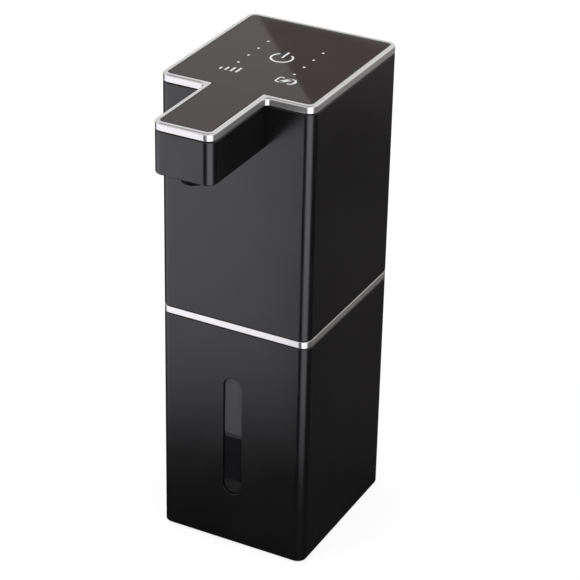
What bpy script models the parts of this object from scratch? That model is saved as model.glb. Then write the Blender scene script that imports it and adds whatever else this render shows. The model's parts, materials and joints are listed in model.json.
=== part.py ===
"""Automatic foam soap dispenser: a pump unit with a touch top and a spout, on a lift-off reservoir.

Metres, +Z up. The origin is at the centre of the body's footprint, on the surface it stands on.
The spout points to -Y, and +X is on the viewer's right when the spout faces the viewer.
"""

import math

import bpy
from mathutils import Matrix, Vector

# Driving sizes of the casing
BODY_WIDTH = 0.0660
BODY_DEPTH = 0.0734
CORNER_RADIUS = 0.0040
RESERVOIR_HEIGHT = 0.1019
BAND_HEIGHT = 0.0029
PUMP_UNIT_HEIGHT = 0.1002
SPOUT_WIDTH = 0.0256
SPOUT_REACH = 0.0401
SPOUT_HEIGHT = 0.0209
NECK_RADIUS = 0.0004

# The gap that pieces which touch keep, and how far a cutter runs past what it cuts
SEAM = 0.0003
OVERRUN = 0.0020

# Wall thicknesses
LOWER_WALL = 0.0026
REBATE_WALL = 0.0014
UPPER_WALL = 0.0024
BAND_WALL = 0.0024
SPOUT_WALL = 0.0018
TANK_WALL = 0.0016

# Sight slot in the lower casing
SLOT_WIDTH = 0.0085
SLOT_LENGTH = 0.0552
SLOT_CENTRE_HEIGHT = 0.0520

# Foot pad and base plate
FOOT_PROUD = 0.0010
PAD_RECESS = 0.0006
PAD_MARGIN = 0.0011
PAD_CORNER = 0.0030
PAD_CHAMFER = 0.0004
BASE_THICKNESS = 0.0026
RIB_THICKNESS = 0.0020
RIB_MARGIN = 0.0080

# Small self-tapping screws
SCREW_HEAD_RADIUS = 0.0019
SCREW_HEAD_HEIGHT = 0.0009
SCREW_SHANK_RADIUS = 0.0008
SCREW_BITE = 0.0040
SCREW_SOCKET_RADIUS = 0.0009
SCREW_SOCKET_DEPTH = 0.0005

# Screw bosses of the two casings
BASE_BOSS_RADIUS = 0.0028
BASE_BOSS_INSET = 0.0050
BASE_BOSS_HEIGHT = 0.0042
WEB_THICKNESS = 0.0016
DECK_BOSS_RADIUS = 0.0038
DECK_BOSS_INSET = 0.0034
DECK_BOSS_HEIGHT = 0.0100

# Tank
TANK_LIFT = 0.0004
TANK_CORNER = 0.0030
TANK_FLOOR = 0.0018
FLANGE_HEIGHT = 0.0020
REBATE_DEPTH = 0.0046

# Deck that closes the pump unit and plugs the tank
DECK_THICKNESS = 0.0030
PLUG_CLEARANCE = 0.0015
PLUG_WALL = 0.0024
PLUG_DEPTH = 0.0096
PLUG_CORNER = 0.0020
GASKET_DEPTH = 0.0010
GASKET_HEIGHT = 0.0040
GASKET_DROP = 0.0033
GASKET_CREST = 0.0006

# Suction line
BARB_RADIUS = 0.0017
BARB_BORE = 0.0009
BARB_LENGTH = 0.0065
HOSE_RADIUS = 0.0028
HOSE_BORE = 0.0020
DIP_TUBE_RADIUS = 0.0030
DIP_TUBE_BORE = 0.0020
DIP_TUBE_INSET = 0.0062
STRAINER_RADIUS = 0.0050
STRAINER_HEIGHT = 0.0080
STRAINER_FLOOR = 0.0016
STRAINER_NOTCH = 0.0012

# Pump, a square stack held by four long screws
PUMP_SIDE = 0.0260
PUMP_CORNER = 0.0030
PUMP_WALL_CLEAR = 0.0008
PUMP_BOARD_CLEAR = 0.0020
PUMP_SCREW_INSET = 0.0024
PUMP_SCREW_HOLE = 0.0011
PUMP_PAD_RADIUS = 0.0112
PUMP_PAD_HEIGHT = 0.0030
COVER_HEIGHT = 0.0070
VALVE_THICKNESS = 0.0008
CHAMBER_HEIGHT = 0.0050
DIAPHRAGM_THICKNESS = 0.0010
CUP_RADIUS = 0.0030
CUP_DEPTH = 0.0030
CUP_CIRCLE = 0.0062
CUP_BUTTON_RADIUS = 0.0012
CUP_COUNT = 3
PORT_SPREAD = 0.0060
CRANKCASE_HEIGHT = 0.0170
CRANKCASE_BORE = 0.0114
CRANKCASE_TOP = 0.0020
PUMP_SCREW_REACH = 0.0080

# Crank: a pin tilted about the centre of the diaphragm rocks the wobble plate
PIN_TILT = math.radians(7.0)
PIN_RADIUS = 0.0010
PIN_SEAT = 0.0015
PIN_LENGTH = 0.0092
PIN_CLEARANCE = 0.0003
WOBBLE_RADIUS = 0.0094
WOBBLE_THICKNESS = 0.0016
WOBBLE_RISE = 0.0034
WOBBLE_HUB_RADIUS = 0.0025
WOBBLE_HUB_HEIGHT = 0.0032
ECCENTRIC_RADIUS = 0.0052
ECCENTRIC_RISE = 0.0076
ECCENTRIC_HEIGHT = 0.0058
SHAFT_RADIUS = 0.0010
SHAFT_ENTRY = 0.0030

# Motor
MOTOR_RADIUS = 0.0120
MOTOR_LENGTH = 0.0240
MOTOR_WALL = 0.0012
MOTOR_BOSS_RADIUS = 0.0030
MOTOR_BOSS_HEIGHT = 0.0016
ARMATURE_RADIUS = 0.0085
ARMATURE_MARGIN = 0.0030
ARMATURE_SLOT = 0.0022
ARMATURE_POLES = 3
END_CAP_HEIGHT = 0.0026
END_CAP_HUB_RADIUS = 0.0032
END_CAP_HUB_HEIGHT = 0.0016
BRACKET_WALL = 0.0012
BRACKET_BAND_HEIGHT = 0.0060
BRACKET_BAND_RISE = 0.0430
BRACKET_LEG_WIDTH = 0.0046
BRACKET_FOOT_LENGTH = 0.0024

# Battery and its cradle
CELL_RADIUS = 0.0091
CELL_LENGTH = 0.0650
CELL_CAP_RADIUS = 0.0030
CELL_CAP_HEIGHT = 0.0012
CRADLE_WALL = 0.0010
CRADLE_FLOOR = 0.0020
CRADLE_HEIGHT = 0.0560
CRADLE_OPENING = math.radians(100.0)

# Main board and charging port
BOARD_THICKNESS = 0.0016
BOARD_WIDTH = 0.0400
BOARD_HEIGHT = 0.0480
BOARD_WALL_GAP = 0.0042
BOARD_DECK_GAP = 0.0040
STANDOFF_RADIUS = 0.0020
STANDOFF_INSET = 0.0030
CHIP_SIDE = 0.0060
CHIP_HEIGHT = 0.0014
COIL_SIDE = 0.0050
COIL_HEIGHT = 0.0026
PART_SPREAD = 0.0110
PORT_HEIGHT = 0.0118
PORT_WIDTH = 0.0090
PORT_THICKNESS = 0.0032
PORT_WALL = 0.0003
PORT_DEPTH = 0.0036
PORT_BLADE_WIDTH = 0.0066
PORT_BLADE_THICKNESS = 0.0007
PORT_BLADE_LENGTH = 0.0018
PORT_CORNER = 0.0013

# Soft cover of the charging port
COVER_WIDTH = 0.0144
COVER_TALL = 0.0074
COVER_CORNER = 0.0020
COVER_THICKNESS = 0.0009
TONGUE_WIDTH = 0.0066
TONGUE_THICKNESS = 0.0011
TONGUE_LENGTH = 0.0013
TONGUE_ROOT = 0.0003

# Touch top
BEZEL_HEIGHT = 0.0032
BEZEL_RIM = 0.0019
BEZEL_LEDGE = 0.0014
BEZEL_LEDGE_HEIGHT = 0.0010
BEZEL_BREAK = 0.0003
GUIDE_HEIGHT = 0.0034
GUIDE_MARGIN = 0.0040
GUIDE_CORNER = 0.0020
TOUCH_BOARD_THICKNESS = 0.0012
TOUCH_BOARD_MARGIN = 0.0010
LED_SIDE = 0.0016
LED_HEIGHT = 0.0008
SPRING_RADIUS = 0.0028
SPRING_WIRE = 0.0003
SPRING_TURNS = 4
POWER_WINDOW = 0.0052
DOT_COUNT = 4
DOT_PITCH = 0.0081
DOT_COLUMN = 0.0121
DOT_WINDOW = 0.0014
ICON_ROW = 0.0194
BARS_CENTRE = 0.0117
BATTERY_ICON_CENTRE = 0.0122
ICON_WINDOW_WIDTH = 0.0096
ICON_WINDOW_DEPTH = 0.0060

# Spout, nozzle and hand sensor
PASSAGE_WIDTH = 0.0190
PASSAGE_SILL = 0.0029
SPOUT_COVER_THICKNESS = 0.0020
NOZZLE_SETBACK = 0.0087
NOZZLE_TIP_RADIUS = 0.0046
NOZZLE_TIP_PROUD = 0.0036
NOZZLE_TIP_BORE = 0.0024
NOZZLE_SPIGOT_RADIUS = 0.0036
NOZZLE_SPIGOT_HEIGHT = 0.0016
NOZZLE_BODY_RADIUS = 0.0056
NOZZLE_BODY_HEIGHT = 0.0110
NOZZLE_BODY_BORE = 0.0042
NOZZLE_CHAMBER_HEIGHT = 0.0064
NOZZLE_THROAT_RADIUS = 0.0024
NOZZLE_THROAT_HEIGHT = 0.0028
NOZZLE_INLET_HEIGHT = 0.0078
NOZZLE_BARB_LENGTH = 0.0060
MESH_WALL = 0.0011
MESH_HEIGHT = 0.0040
MESH_SCREEN = 0.0004
SENSOR_SETBACK = 0.0227
SENSOR_WIDTH = 0.0140
SENSOR_DEPTH = 0.0060
SENSOR_CORNER = 0.0015
SENSOR_THICKNESS = 0.0014
SENSOR_LIP = 0.0008
LED_LENS_RADIUS = 0.0015
LED_LENS_HEIGHT = 0.0032
LED_LENS_DOME = 0.0012
LED_LENS_SPREAD = 0.0036
SENSOR_BOARD_WIDTH = 0.0190
SENSOR_BOARD_DEPTH = 0.0070
SENSOR_BOARD_THICKNESS = 0.0010
SENSOR_POST_RADIUS = 0.0010
SENSOR_POST_SPREAD = 0.0084
SPOUT_BOSS_RADIUS = 0.0024
SPOUT_BOSS_HEIGHT = 0.0056
SPOUT_BOSS_OVERLAP = 0.0004
SPOUT_SCREW_SETBACK = 0.0340

# Way of the two hoses: straight past each barb, then round bends
HOSE_STRAIGHT = 0.0056
HOSE_BEND = 0.0068

# Number of segments
CORNER_STEPS = 4
ROUND_STEPS = 20
SMALL_STEPS = 10
HOLE_STEPS = 8
WINDOW_STEPS = 1
HOSE_SIDES = 8
HOSE_RINGS = 18
SPRING_SIDES = 4

# Edges that turn more than this stay sharp
SHARP_ANGLE = math.radians(30.0)

# Heights worked out from the driving sizes
LOWER_BOTTOM = FOOT_PROUD
LOWER_TOP = RESERVOIR_HEIGHT - SEAM
BAND_TOP = RESERVOIR_HEIGHT + BAND_HEIGHT
UPPER_BOTTOM = BAND_TOP + SEAM
OVERALL_HEIGHT = BAND_TOP + PUMP_UNIT_HEIGHT
BEZEL_BOTTOM = OVERALL_HEIGHT - BEZEL_HEIGHT
UPPER_TOP = BEZEL_BOTTOM - SEAM
SPOUT_BOTTOM = OVERALL_HEIGHT - SPOUT_HEIGHT
BASE_TOP = LOWER_BOTTOM + BASE_THICKNESS
BASE_CEILING = LOWER_BOTTOM + PAD_RECESS
BASE_BOSS_BOTTOM = BASE_TOP + SEAM
BASE_BOSS_TOP = BASE_BOSS_BOTTOM + BASE_BOSS_HEIGHT
TANK_BOTTOM = BASE_BOSS_TOP + TANK_LIFT
TANK_FLOOR_TOP = TANK_BOTTOM + TANK_FLOOR
REBATE_STEP = LOWER_TOP - REBATE_DEPTH
FLANGE_BOTTOM = REBATE_STEP + SEAM
FLANGE_TOP = FLANGE_BOTTOM + FLANGE_HEIGHT
DECK_BOTTOM = FLANGE_TOP + SEAM
DECK_TOP = UPPER_BOTTOM + UPPER_WALL - WEB_THICKNESS
DECK_CEILING = DECK_TOP - DECK_THICKNESS
PLUG_BOTTOM = DECK_BOTTOM - PLUG_DEPTH

# Plan sizes worked out from the driving sizes
HALF_WIDTH = BODY_WIDTH / 2
HALF_DEPTH = BODY_DEPTH / 2
SPOUT_FRONT = -(HALF_DEPTH + SPOUT_REACH)
INNER_HALF_WIDTH = HALF_WIDTH - UPPER_WALL
INNER_HALF_DEPTH = HALF_DEPTH - UPPER_WALL
TANK_INSET = LOWER_WALL + SEAM
TANK_MOUTH_INSET = TANK_INSET + TANK_WALL
PLUG_INSET = TANK_MOUTH_INSET + PLUG_CLEARANCE
PLUG_HOLLOW_INSET = PLUG_INSET + PLUG_WALL
DECK_INSET = max(UPPER_WALL, BAND_WALL) + SEAM
DIP_TUBE_PLACE = (
    HALF_WIDTH - PLUG_HOLLOW_INSET - DIP_TUBE_INSET,
    -(HALF_DEPTH - PLUG_HOLLOW_INSET - DIP_TUBE_INSET),
)

# Main board and port: the board stands off the rear wall
BOARD_REAR = INNER_HALF_DEPTH - BOARD_WALL_GAP
BOARD_FRONT = BOARD_REAR - BOARD_THICKNESS
BOARD_BOTTOM = DECK_TOP + BOARD_DECK_GAP
PORT_LEVEL = DECK_TOP + PORT_HEIGHT
COVER_FLOOR = HALF_DEPTH - COVER_THICKNESS - SEAM
PORT_FRONT = COVER_FLOOR - SEAM
HINGE_LEVEL = PORT_LEVEL + COVER_TALL / 2

# Pump stack, bottom to top
PUMP_X = -(INNER_HALF_WIDTH - PUMP_WALL_CLEAR - PUMP_SIDE / 2)
PUMP_Y = BOARD_FRONT - PUMP_BOARD_CLEAR - PUMP_SIDE / 2
PAD_BOTTOM = DECK_TOP + SEAM
COVER_BOTTOM = PAD_BOTTOM + PUMP_PAD_HEIGHT + SEAM
COVER_TOP = COVER_BOTTOM + COVER_HEIGHT
VALVE_BOTTOM = COVER_TOP + SEAM
VALVE_TOP = VALVE_BOTTOM + VALVE_THICKNESS
CHAMBER_BOTTOM = VALVE_TOP + SEAM
CHAMBER_TOP = CHAMBER_BOTTOM + CHAMBER_HEIGHT
DIAPHRAGM_BOTTOM = CHAMBER_TOP + SEAM
DIAPHRAGM_TOP = DIAPHRAGM_BOTTOM + DIAPHRAGM_THICKNESS
CRANKCASE_BOTTOM = DIAPHRAGM_TOP + SEAM
CRANKCASE_CAP = CRANKCASE_BOTTOM + CRANKCASE_HEIGHT
PIVOT_HEIGHT = DIAPHRAGM_TOP + PIN_SEAT
PORT_AXIS_HEIGHT = COVER_BOTTOM + COVER_HEIGHT / 2
MOTOR_BOTTOM = CRANKCASE_CAP + SEAM
MOTOR_TOP = MOTOR_BOTTOM + MOTOR_LENGTH
ECCENTRIC_BOTTOM = PIVOT_HEIGHT + ECCENTRIC_RISE
ECCENTRIC_TOP = ECCENTRIC_BOTTOM + ECCENTRIC_HEIGHT
SHAFT_BOTTOM = ECCENTRIC_TOP - SHAFT_ENTRY
WOBBLE_DROP = (CUP_CIRCLE + CUP_BUTTON_RADIUS) * math.tan(PIN_TILT)
BUTTON_TOP = PIVOT_HEIGHT + WOBBLE_RISE - WOBBLE_THICKNESS / 2 - WOBBLE_DROP - SEAM

# Battery
CRADLE_RADIUS = CELL_RADIUS + SEAM + CRADLE_WALL
CELL_X = INNER_HALF_WIDTH - PUMP_WALL_CLEAR - CRADLE_RADIUS
CELL_Y = BOARD_FRONT - PUMP_BOARD_CLEAR - CRADLE_RADIUS
CRADLE_BOTTOM = DECK_TOP + SEAM
CELL_BOTTOM = CRADLE_BOTTOM + CRADLE_FLOOR + SEAM

# Touch top, top to bottom
PANEL_BOTTOM = BEZEL_BOTTOM + BEZEL_LEDGE_HEIGHT + SEAM
GUIDE_TOP = PANEL_BOTTOM - SEAM
GUIDE_BOTTOM = GUIDE_TOP - GUIDE_HEIGHT
TOUCH_BOARD_TOP = GUIDE_BOTTOM - SEAM
TOUCH_BOARD_BOTTOM = TOUCH_BOARD_TOP - TOUCH_BOARD_THICKNESS

# Spout, front to back
SPOUT_COVER_TOP = SPOUT_BOTTOM + SPOUT_COVER_THICKNESS
NOZZLE_Y = SPOUT_FRONT + NOZZLE_SETBACK
NOZZLE_BOTTOM = SPOUT_COVER_TOP + SEAM
NOZZLE_INLET_LEVEL = NOZZLE_BOTTOM + NOZZLE_INLET_HEIGHT
SENSOR_Y = SPOUT_FRONT + SENSOR_SETBACK
SENSOR_TOP = SPOUT_BOTTOM + SENSOR_LIP + SENSOR_THICKNESS
LENS_BOTTOM = SENSOR_TOP + SEAM
SENSOR_BOARD_BOTTOM = LENS_BOTTOM + LED_LENS_HEIGHT + SEAM
SPOUT_SCREW_X = SPOUT_WIDTH / 2 - SPOUT_WALL - SPOUT_BOSS_RADIUS + SPOUT_BOSS_OVERLAP
SPOUT_SCREW_Y = SPOUT_FRONT + SPOUT_SCREW_SETBACK

# Colours: base colour, roughness, metallic
FINISHES = {
    "black_plastic": ((0.020, 0.020, 0.022, 1.0), 0.38, 0.0),
    "black_glass": ((0.030, 0.027, 0.028, 1.0), 0.12, 0.0),
    "silver_trim": ((0.780, 0.780, 0.790, 1.0), 0.30, 1.0),
    "clear_plastic": ((0.620, 0.640, 0.660, 0.5), 0.10, 0.0),
    "grey_plastic": ((0.180, 0.180, 0.185, 1.0), 0.50, 0.0),
    "white_plastic": ((0.800, 0.800, 0.780, 1.0), 0.45, 0.0),
    "dark_rubber": ((0.025, 0.025, 0.025, 1.0), 0.80, 0.0),
    "pale_rubber": ((0.700, 0.690, 0.660, 1.0), 0.60, 0.0),
    "steel": ((0.560, 0.570, 0.580, 1.0), 0.30, 1.0),
    "copper": ((0.720, 0.380, 0.220, 1.0), 0.40, 1.0),
    "circuit_board": ((0.020, 0.140, 0.060, 1.0), 0.45, 0.0),
    "cell_wrap": ((0.050, 0.160, 0.420, 1.0), 0.35, 0.0),
    "sensor_filter": ((0.050, 0.010, 0.020, 1.0), 0.10, 0.0),
}


# Outlines: closed lists of (x, y) points, counter-clockwise

def filleted(corners, steps=CORNER_STEPS):
    """Rounds each (x, y, radius) corner of a right-angled polygon with a quarter circle."""
    points = []
    count = len(corners)
    for index, (x, y, radius) in enumerate(corners):
        here = Vector((x, y))
        before = (Vector(corners[index - 1][:2]) - here).normalized()
        after = (Vector(corners[(index + 1) % count][:2]) - here).normalized()
        centre = here + radius * (before + after)
        for step in range(steps + 1):
            turn = math.pi / 2 * step / steps
            points.append(centre - radius * (after * math.cos(turn) + before * math.sin(turn)))
    return [(point.x, point.y) for point in points]


def rectangle(width, depth, radius, centre=(0.0, 0.0), steps=CORNER_STEPS):
    """A rectangle with round corners."""
    half_width = width / 2
    half_depth = depth / 2
    signs = ((-1, -1), (1, -1), (1, 1), (-1, 1))
    return filleted(
        [(centre[0] + a * half_width, centre[1] + b * half_depth, radius) for a, b in signs],
        steps,
    )


def body_outline(inset, radius=None):
    """The casing's footprint, drawn in by inset on every side."""
    if radius is None:
        radius = max(CORNER_RADIUS - inset, NECK_RADIUS)
    return rectangle(BODY_WIDTH - 2 * inset, BODY_DEPTH - 2 * inset, radius)


def top_outline(inset):
    """The T of the body and its spout, drawn in by inset on every side."""
    outer = max(CORNER_RADIUS - inset, NECK_RADIUS)
    neck = NECK_RADIUS + inset
    right = HALF_WIDTH - inset
    back = HALF_DEPTH - inset
    arm = SPOUT_WIDTH / 2 - inset
    front = SPOUT_FRONT + inset
    return filleted(
        [
            (-arm, front, outer),
            (arm, front, outer),
            (arm, -back, neck),
            (right, -back, outer),
            (right, back, outer),
            (-right, back, outer),
            (-right, -back, outer),
            (-arm, -back, neck),
        ]
    )


def circle(radius, steps=ROUND_STEPS, centre=(0.0, 0.0)):
    """A circle as a regular polygon."""
    turns = [2 * math.pi * step / steps for step in range(steps)]
    return [(centre[0] + radius * math.cos(t), centre[1] + radius * math.sin(t)) for t in turns]


def slot(width, length, steps=SMALL_STEPS):
    """An upright slot with round ends."""
    radius = width / 2
    reach = length / 2 - radius
    points = []
    for step in range(steps + 1):
        turn = math.pi * step / steps
        points.append((radius * math.cos(turn), reach + radius * math.sin(turn)))
    for step in range(steps + 1):
        turn = math.pi + math.pi * step / steps
        points.append((radius * math.cos(turn), -reach + radius * math.sin(turn)))
    return points


def c_outline(outer, inner, opening, facing):
    """A ring with an opening of the given angle, whose middle faces the given direction."""
    start = facing + opening / 2
    span = 2 * math.pi - opening
    turns = [start + span * step / ROUND_STEPS for step in range(ROUND_STEPS + 1)]
    outside = [(outer * math.cos(t), outer * math.sin(t)) for t in turns]
    inside = [(inner * math.cos(t), inner * math.sin(t)) for t in reversed(turns)]
    return outside + inside


# Solids: (points, faces) pairs, closed and facing out

def loft(rings, closed=False):
    """Skins a stack of (outline, height) rings. A closed stack returns to its first ring."""
    count = len(rings[0][0])
    points = [Vector((x, y, height)) for outline, height in rings for x, y in outline]
    faces = []
    pairs = len(rings) if closed else len(rings) - 1
    for level in range(pairs):
        low = level * count
        high = (level + 1) % len(rings) * count
        for index in range(count):
            after = (index + 1) % count
            faces.append((low + index, low + after, high + after, high + index))
    if not closed:
        last = (len(rings) - 1) * count
        faces.append(tuple(reversed(range(count))))
        faces.append(tuple(range(last, last + count)))
    return points, faces


def prism(outline, bottom, top):
    """An outline carried straight up."""
    return loft([(outline, bottom), (outline, top)])


def turned(profile, closed=False, steps=ROUND_STEPS, centre=(0.0, 0.0)):
    """A profile of (radius, height) points turned about an upright axis."""
    return loft([(circle(radius, steps, centre), height) for radius, height in profile], closed)


def block(low, high):
    """A box between two opposite corners."""
    outline = [(low[0], low[1]), (high[0], low[1]), (high[0], high[1]), (low[0], high[1])]
    return prism(outline, low[2], high[2])


def moved(solid, offset=(0.0, 0.0, 0.0), rotation=None):
    """A turned and shifted copy of a solid."""
    matrix = Matrix.Translation(offset)
    if rotation is not None:
        matrix = matrix @ rotation
    points, faces = solid
    return [matrix @ point for point in points], faces


def together(solids):
    """Several separate solids in one mesh."""
    points = []
    faces = []
    for some_points, some_faces in solids:
        start = len(points)
        points += some_points
        faces += [tuple(start + index for index in face) for face in some_faces]
    return points, faces


def rounded_route(stops, rings):
    """Points at even steps of parameter on a smooth curve through the stops."""
    stops = [Vector(stop) for stop in stops]
    padded = [2 * stops[0] - stops[1]] + stops + [2 * stops[-1] - stops[-2]]
    spans = len(stops) - 1
    points = []
    for ring in range(rings + 1):
        place = spans * ring / rings
        span = min(int(place), spans - 1)
        t = place - span
        a, b, c, d = padded[span : span + 4]
        points.append(
            (2 * b + (c - a) * t + (2 * a - 5 * b + 4 * c - d) * t * t
             + (3 * b - a - 3 * c + d) * t * t * t) / 2
        )
    return points


def swept(route, radius, bore=0.0, sides=HOSE_SIDES):
    """A tube along a route, hollow where it has a bore. Its frame turns with the route."""
    tangents = []
    last = len(route) - 1
    for index in range(last + 1):
        tangents.append((route[min(index + 1, last)] - route[max(index - 1, 0)]).normalized())
    normal = tangents[0].orthogonal().normalized()
    rings = []
    for point, tangent in zip(route, tangents):
        normal = (normal - normal.dot(tangent) * tangent).normalized()
        rings.append((point, normal, tangent.cross(normal)))
    radii = [radius, bore] if bore else [radius]
    points = []
    for size in radii:
        for centre, first, second in rings:
            for side in range(sides):
                turn = 2 * math.pi * side / sides
                points.append(centre + size * (first * math.cos(turn) + second * math.sin(turn)))
    faces = []
    inner = len(rings) * sides
    for ring in range(last):
        for side in range(sides):
            after = (side + 1) % sides
            a = ring * sides + side
            b = ring * sides + after
            faces.append((a, b, b + sides, a + sides))
            if bore:
                faces.append((inner + b, inner + a, inner + a + sides, inner + b + sides))
    end = last * sides
    if bore:
        for side in range(sides):
            after = (side + 1) % sides
            faces.append((after, side, inner + side, inner + after))
            faces.append((end + side, end + after, inner + end + after, inner + end + side))
    else:
        faces.append(tuple(reversed(range(sides))))
        faces.append(tuple(range(end, end + sides)))
    return points, faces


# Outlines drawn in (x, z) grow to the front, and those drawn in (y, z) grow to the side
TO_FRONT = Matrix.Rotation(math.pi / 2, 4, "X")
TO_SIDE = Matrix.Rotation(math.pi / 2, 4, "Z") @ TO_FRONT


# Objects

def clear_scene():
    """Removes what a new file holds."""
    for item in list(bpy.data.objects):
        bpy.data.objects.remove(item)


def material(piece, finish):
    """A material of the piece's own, in one of the finishes."""
    colour, roughness, metallic = FINISHES[finish]
    made = bpy.data.materials.new(piece)
    made.use_nodes = True
    shader = made.node_tree.nodes["Principled BSDF"]
    shader.inputs["Base Color"].default_value = colour
    shader.inputs["Alpha"].default_value = colour[3]
    shader.inputs["Roughness"].default_value = roughness
    shader.inputs["Metallic"].default_value = metallic
    return made


def mesh_object(name, solid):
    """An object at the world's origin with the solid as its mesh."""
    mesh = bpy.data.meshes.new(name)
    mesh.from_pydata([tuple(point) for point in solid[0]], [], solid[1])
    mesh.update()
    made = bpy.data.objects.new(name, mesh)
    bpy.context.scene.collection.objects.link(made)
    return made


def helper(name, solid):
    """A cutter or an addition, used by a Boolean only."""
    made = mesh_object(name, solid)
    made.hide_render = True
    made.display_type = "WIRE"
    return made


def shaped(target, label, operation, solids):
    """Adds or cuts solids on the target with one exact Boolean."""
    tool = helper(target.name + "_" + label, together(solids))
    tool.parent = target.parent
    tool.location = target.location
    tool.rotation_euler = target.rotation_euler
    boolean = target.modifiers.new(label, "BOOLEAN")
    boolean.operation = operation
    boolean.solver = "EXACT"
    boolean.object = tool


def add(target, label, solids):
    """Joins solids to the target."""
    shaped(target, label, "UNION", solids)


def cut(target, label, solids):
    """Cuts solids out of the target."""
    shaped(target, label, "DIFFERENCE", solids)


def carrier(name, place, parent=None, tilt=0.0):
    """An empty on which a group of pieces moves."""
    made = bpy.data.objects.new(name, None)
    made.location = Vector(place) - (parent.location if parent else Vector())
    made.rotation_euler = (0.0, tilt, 0.0)
    made.parent = parent
    bpy.context.scene.collection.objects.link(made)
    return made


def piece(name, solid, finish, parent, local=False):
    """A named piece. Its solid is in world places, or in its carrier's own when local is set."""
    made = mesh_object(name, solid)
    made.parent = parent
    if not local:
        made.location = -parent.location
    made.data.materials.append(material(name, finish))
    made.data.shade_smooth()
    made.data.set_sharp_from_angle(angle=SHARP_ANGLE)
    return made


def screw(shank):
    """A screw that points up, with its head's underside at height zero and a socket in it."""
    return turned(
        [
            (SCREW_SOCKET_RADIUS, SCREW_SOCKET_DEPTH - SCREW_HEAD_HEIGHT),
            (SCREW_SOCKET_RADIUS, -SCREW_HEAD_HEIGHT),
            (SCREW_HEAD_RADIUS, -SCREW_HEAD_HEIGHT),
            (SCREW_HEAD_RADIUS, 0.0),
            (SCREW_SHANK_RADIUS, 0.0),
            (SCREW_SHANK_RADIUS, shank),
        ],
        steps=SMALL_STEPS,
    )


def screw_way(seat, bottom, top):
    """The hole for a screw's head and shank, from bottom to top, with the head's seat between."""
    return turned(
        [
            (SCREW_HEAD_RADIUS + SEAM, bottom),
            (SCREW_HEAD_RADIUS + SEAM, seat),
            (SCREW_SHANK_RADIUS + SEAM, seat),
            (SCREW_SHANK_RADIUS + SEAM, top),
        ],
        steps=SMALL_STEPS,
    )


def corner_places(inset_x, inset_y):
    """Four places, one near each corner of the footprint."""
    return [
        (side * (HALF_WIDTH - inset_x), end * (HALF_DEPTH - inset_y))
        for side in (-1, 1)
        for end in (-1, 1)
    ]


def at(solid, place, height=0.0):
    """A solid moved to a place in plan."""
    return moved(solid, (place[0], place[1], height))


# Reservoir

def base_screw_places():
    inset = LOWER_WALL + BASE_BOSS_INSET
    return corner_places(inset, inset)


def make_lower_shell(parent):
    """The lower casing: a tube with a sight slot, a rebate for the tank's flange and four bosses."""
    outer = body_outline(0.0)
    rebate = body_outline(REBATE_WALL)
    inner = body_outline(LOWER_WALL)
    tube = loft(
        [
            (outer, LOWER_BOTTOM),
            (outer, LOWER_TOP),
            (rebate, LOWER_TOP),
            (rebate, REBATE_STEP),
            (inner, REBATE_STEP),
            (inner, LOWER_BOTTOM),
        ],
        closed=True,
    )
    shell = piece("lower_shell", tube, "black_plastic", parent)
    webs = []
    bosses = []
    pilots = []
    for x, y in base_screw_places():
        side = math.copysign(1.0, x)
        boss = prism(circle(BASE_BOSS_RADIUS, SMALL_STEPS), BASE_BOSS_BOTTOM, BASE_BOSS_TOP)
        bosses.append(at(boss, (x, y)))
        wall = side * (HALF_WIDTH - LOWER_WALL / 2)
        webs.append(
            block(
                (min(x, wall), y - WEB_THICKNESS / 2, BASE_BOSS_BOTTOM + SEAM),
                (max(x, wall), y + WEB_THICKNESS / 2, BASE_BOSS_TOP - SEAM),
            )
        )
        pilots.append(
            at(
                prism(
                    circle(SCREW_SHANK_RADIUS + SEAM, SMALL_STEPS),
                    BASE_BOSS_BOTTOM - OVERRUN,
                    BASE_BOSS_TOP - SEAM * 2,
                ),
                (x, y),
            )
        )
    add(shell, "bosses", bosses)
    add(shell, "webs", webs)
    cut(shell, "pilots", pilots)
    back = HALF_DEPTH - LOWER_WALL - OVERRUN
    window = prism(slot(SLOT_WIDTH, SLOT_LENGTH), back, HALF_DEPTH + OVERRUN)
    cut(shell, "sight_slot", [moved(window, (0.0, 0.0, SLOT_CENTRE_HEIGHT), TO_FRONT)])


def make_soap_tank(parent):
    """The clear tank, hung by its flange in the casing's rebate."""
    corner = TANK_CORNER
    outer = body_outline(TANK_INSET, corner)
    flange = body_outline(REBATE_WALL + SEAM)
    inner = body_outline(TANK_MOUTH_INSET, corner - TANK_WALL)
    tank = loft(
        [
            (outer, TANK_BOTTOM),
            (outer, FLANGE_BOTTOM),
            (flange, FLANGE_BOTTOM),
            (flange, FLANGE_TOP),
            (inner, FLANGE_TOP),
            (inner, TANK_FLOOR_TOP),
        ]
    )
    piece("soap_tank", tank, "clear_plastic", parent)


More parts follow.
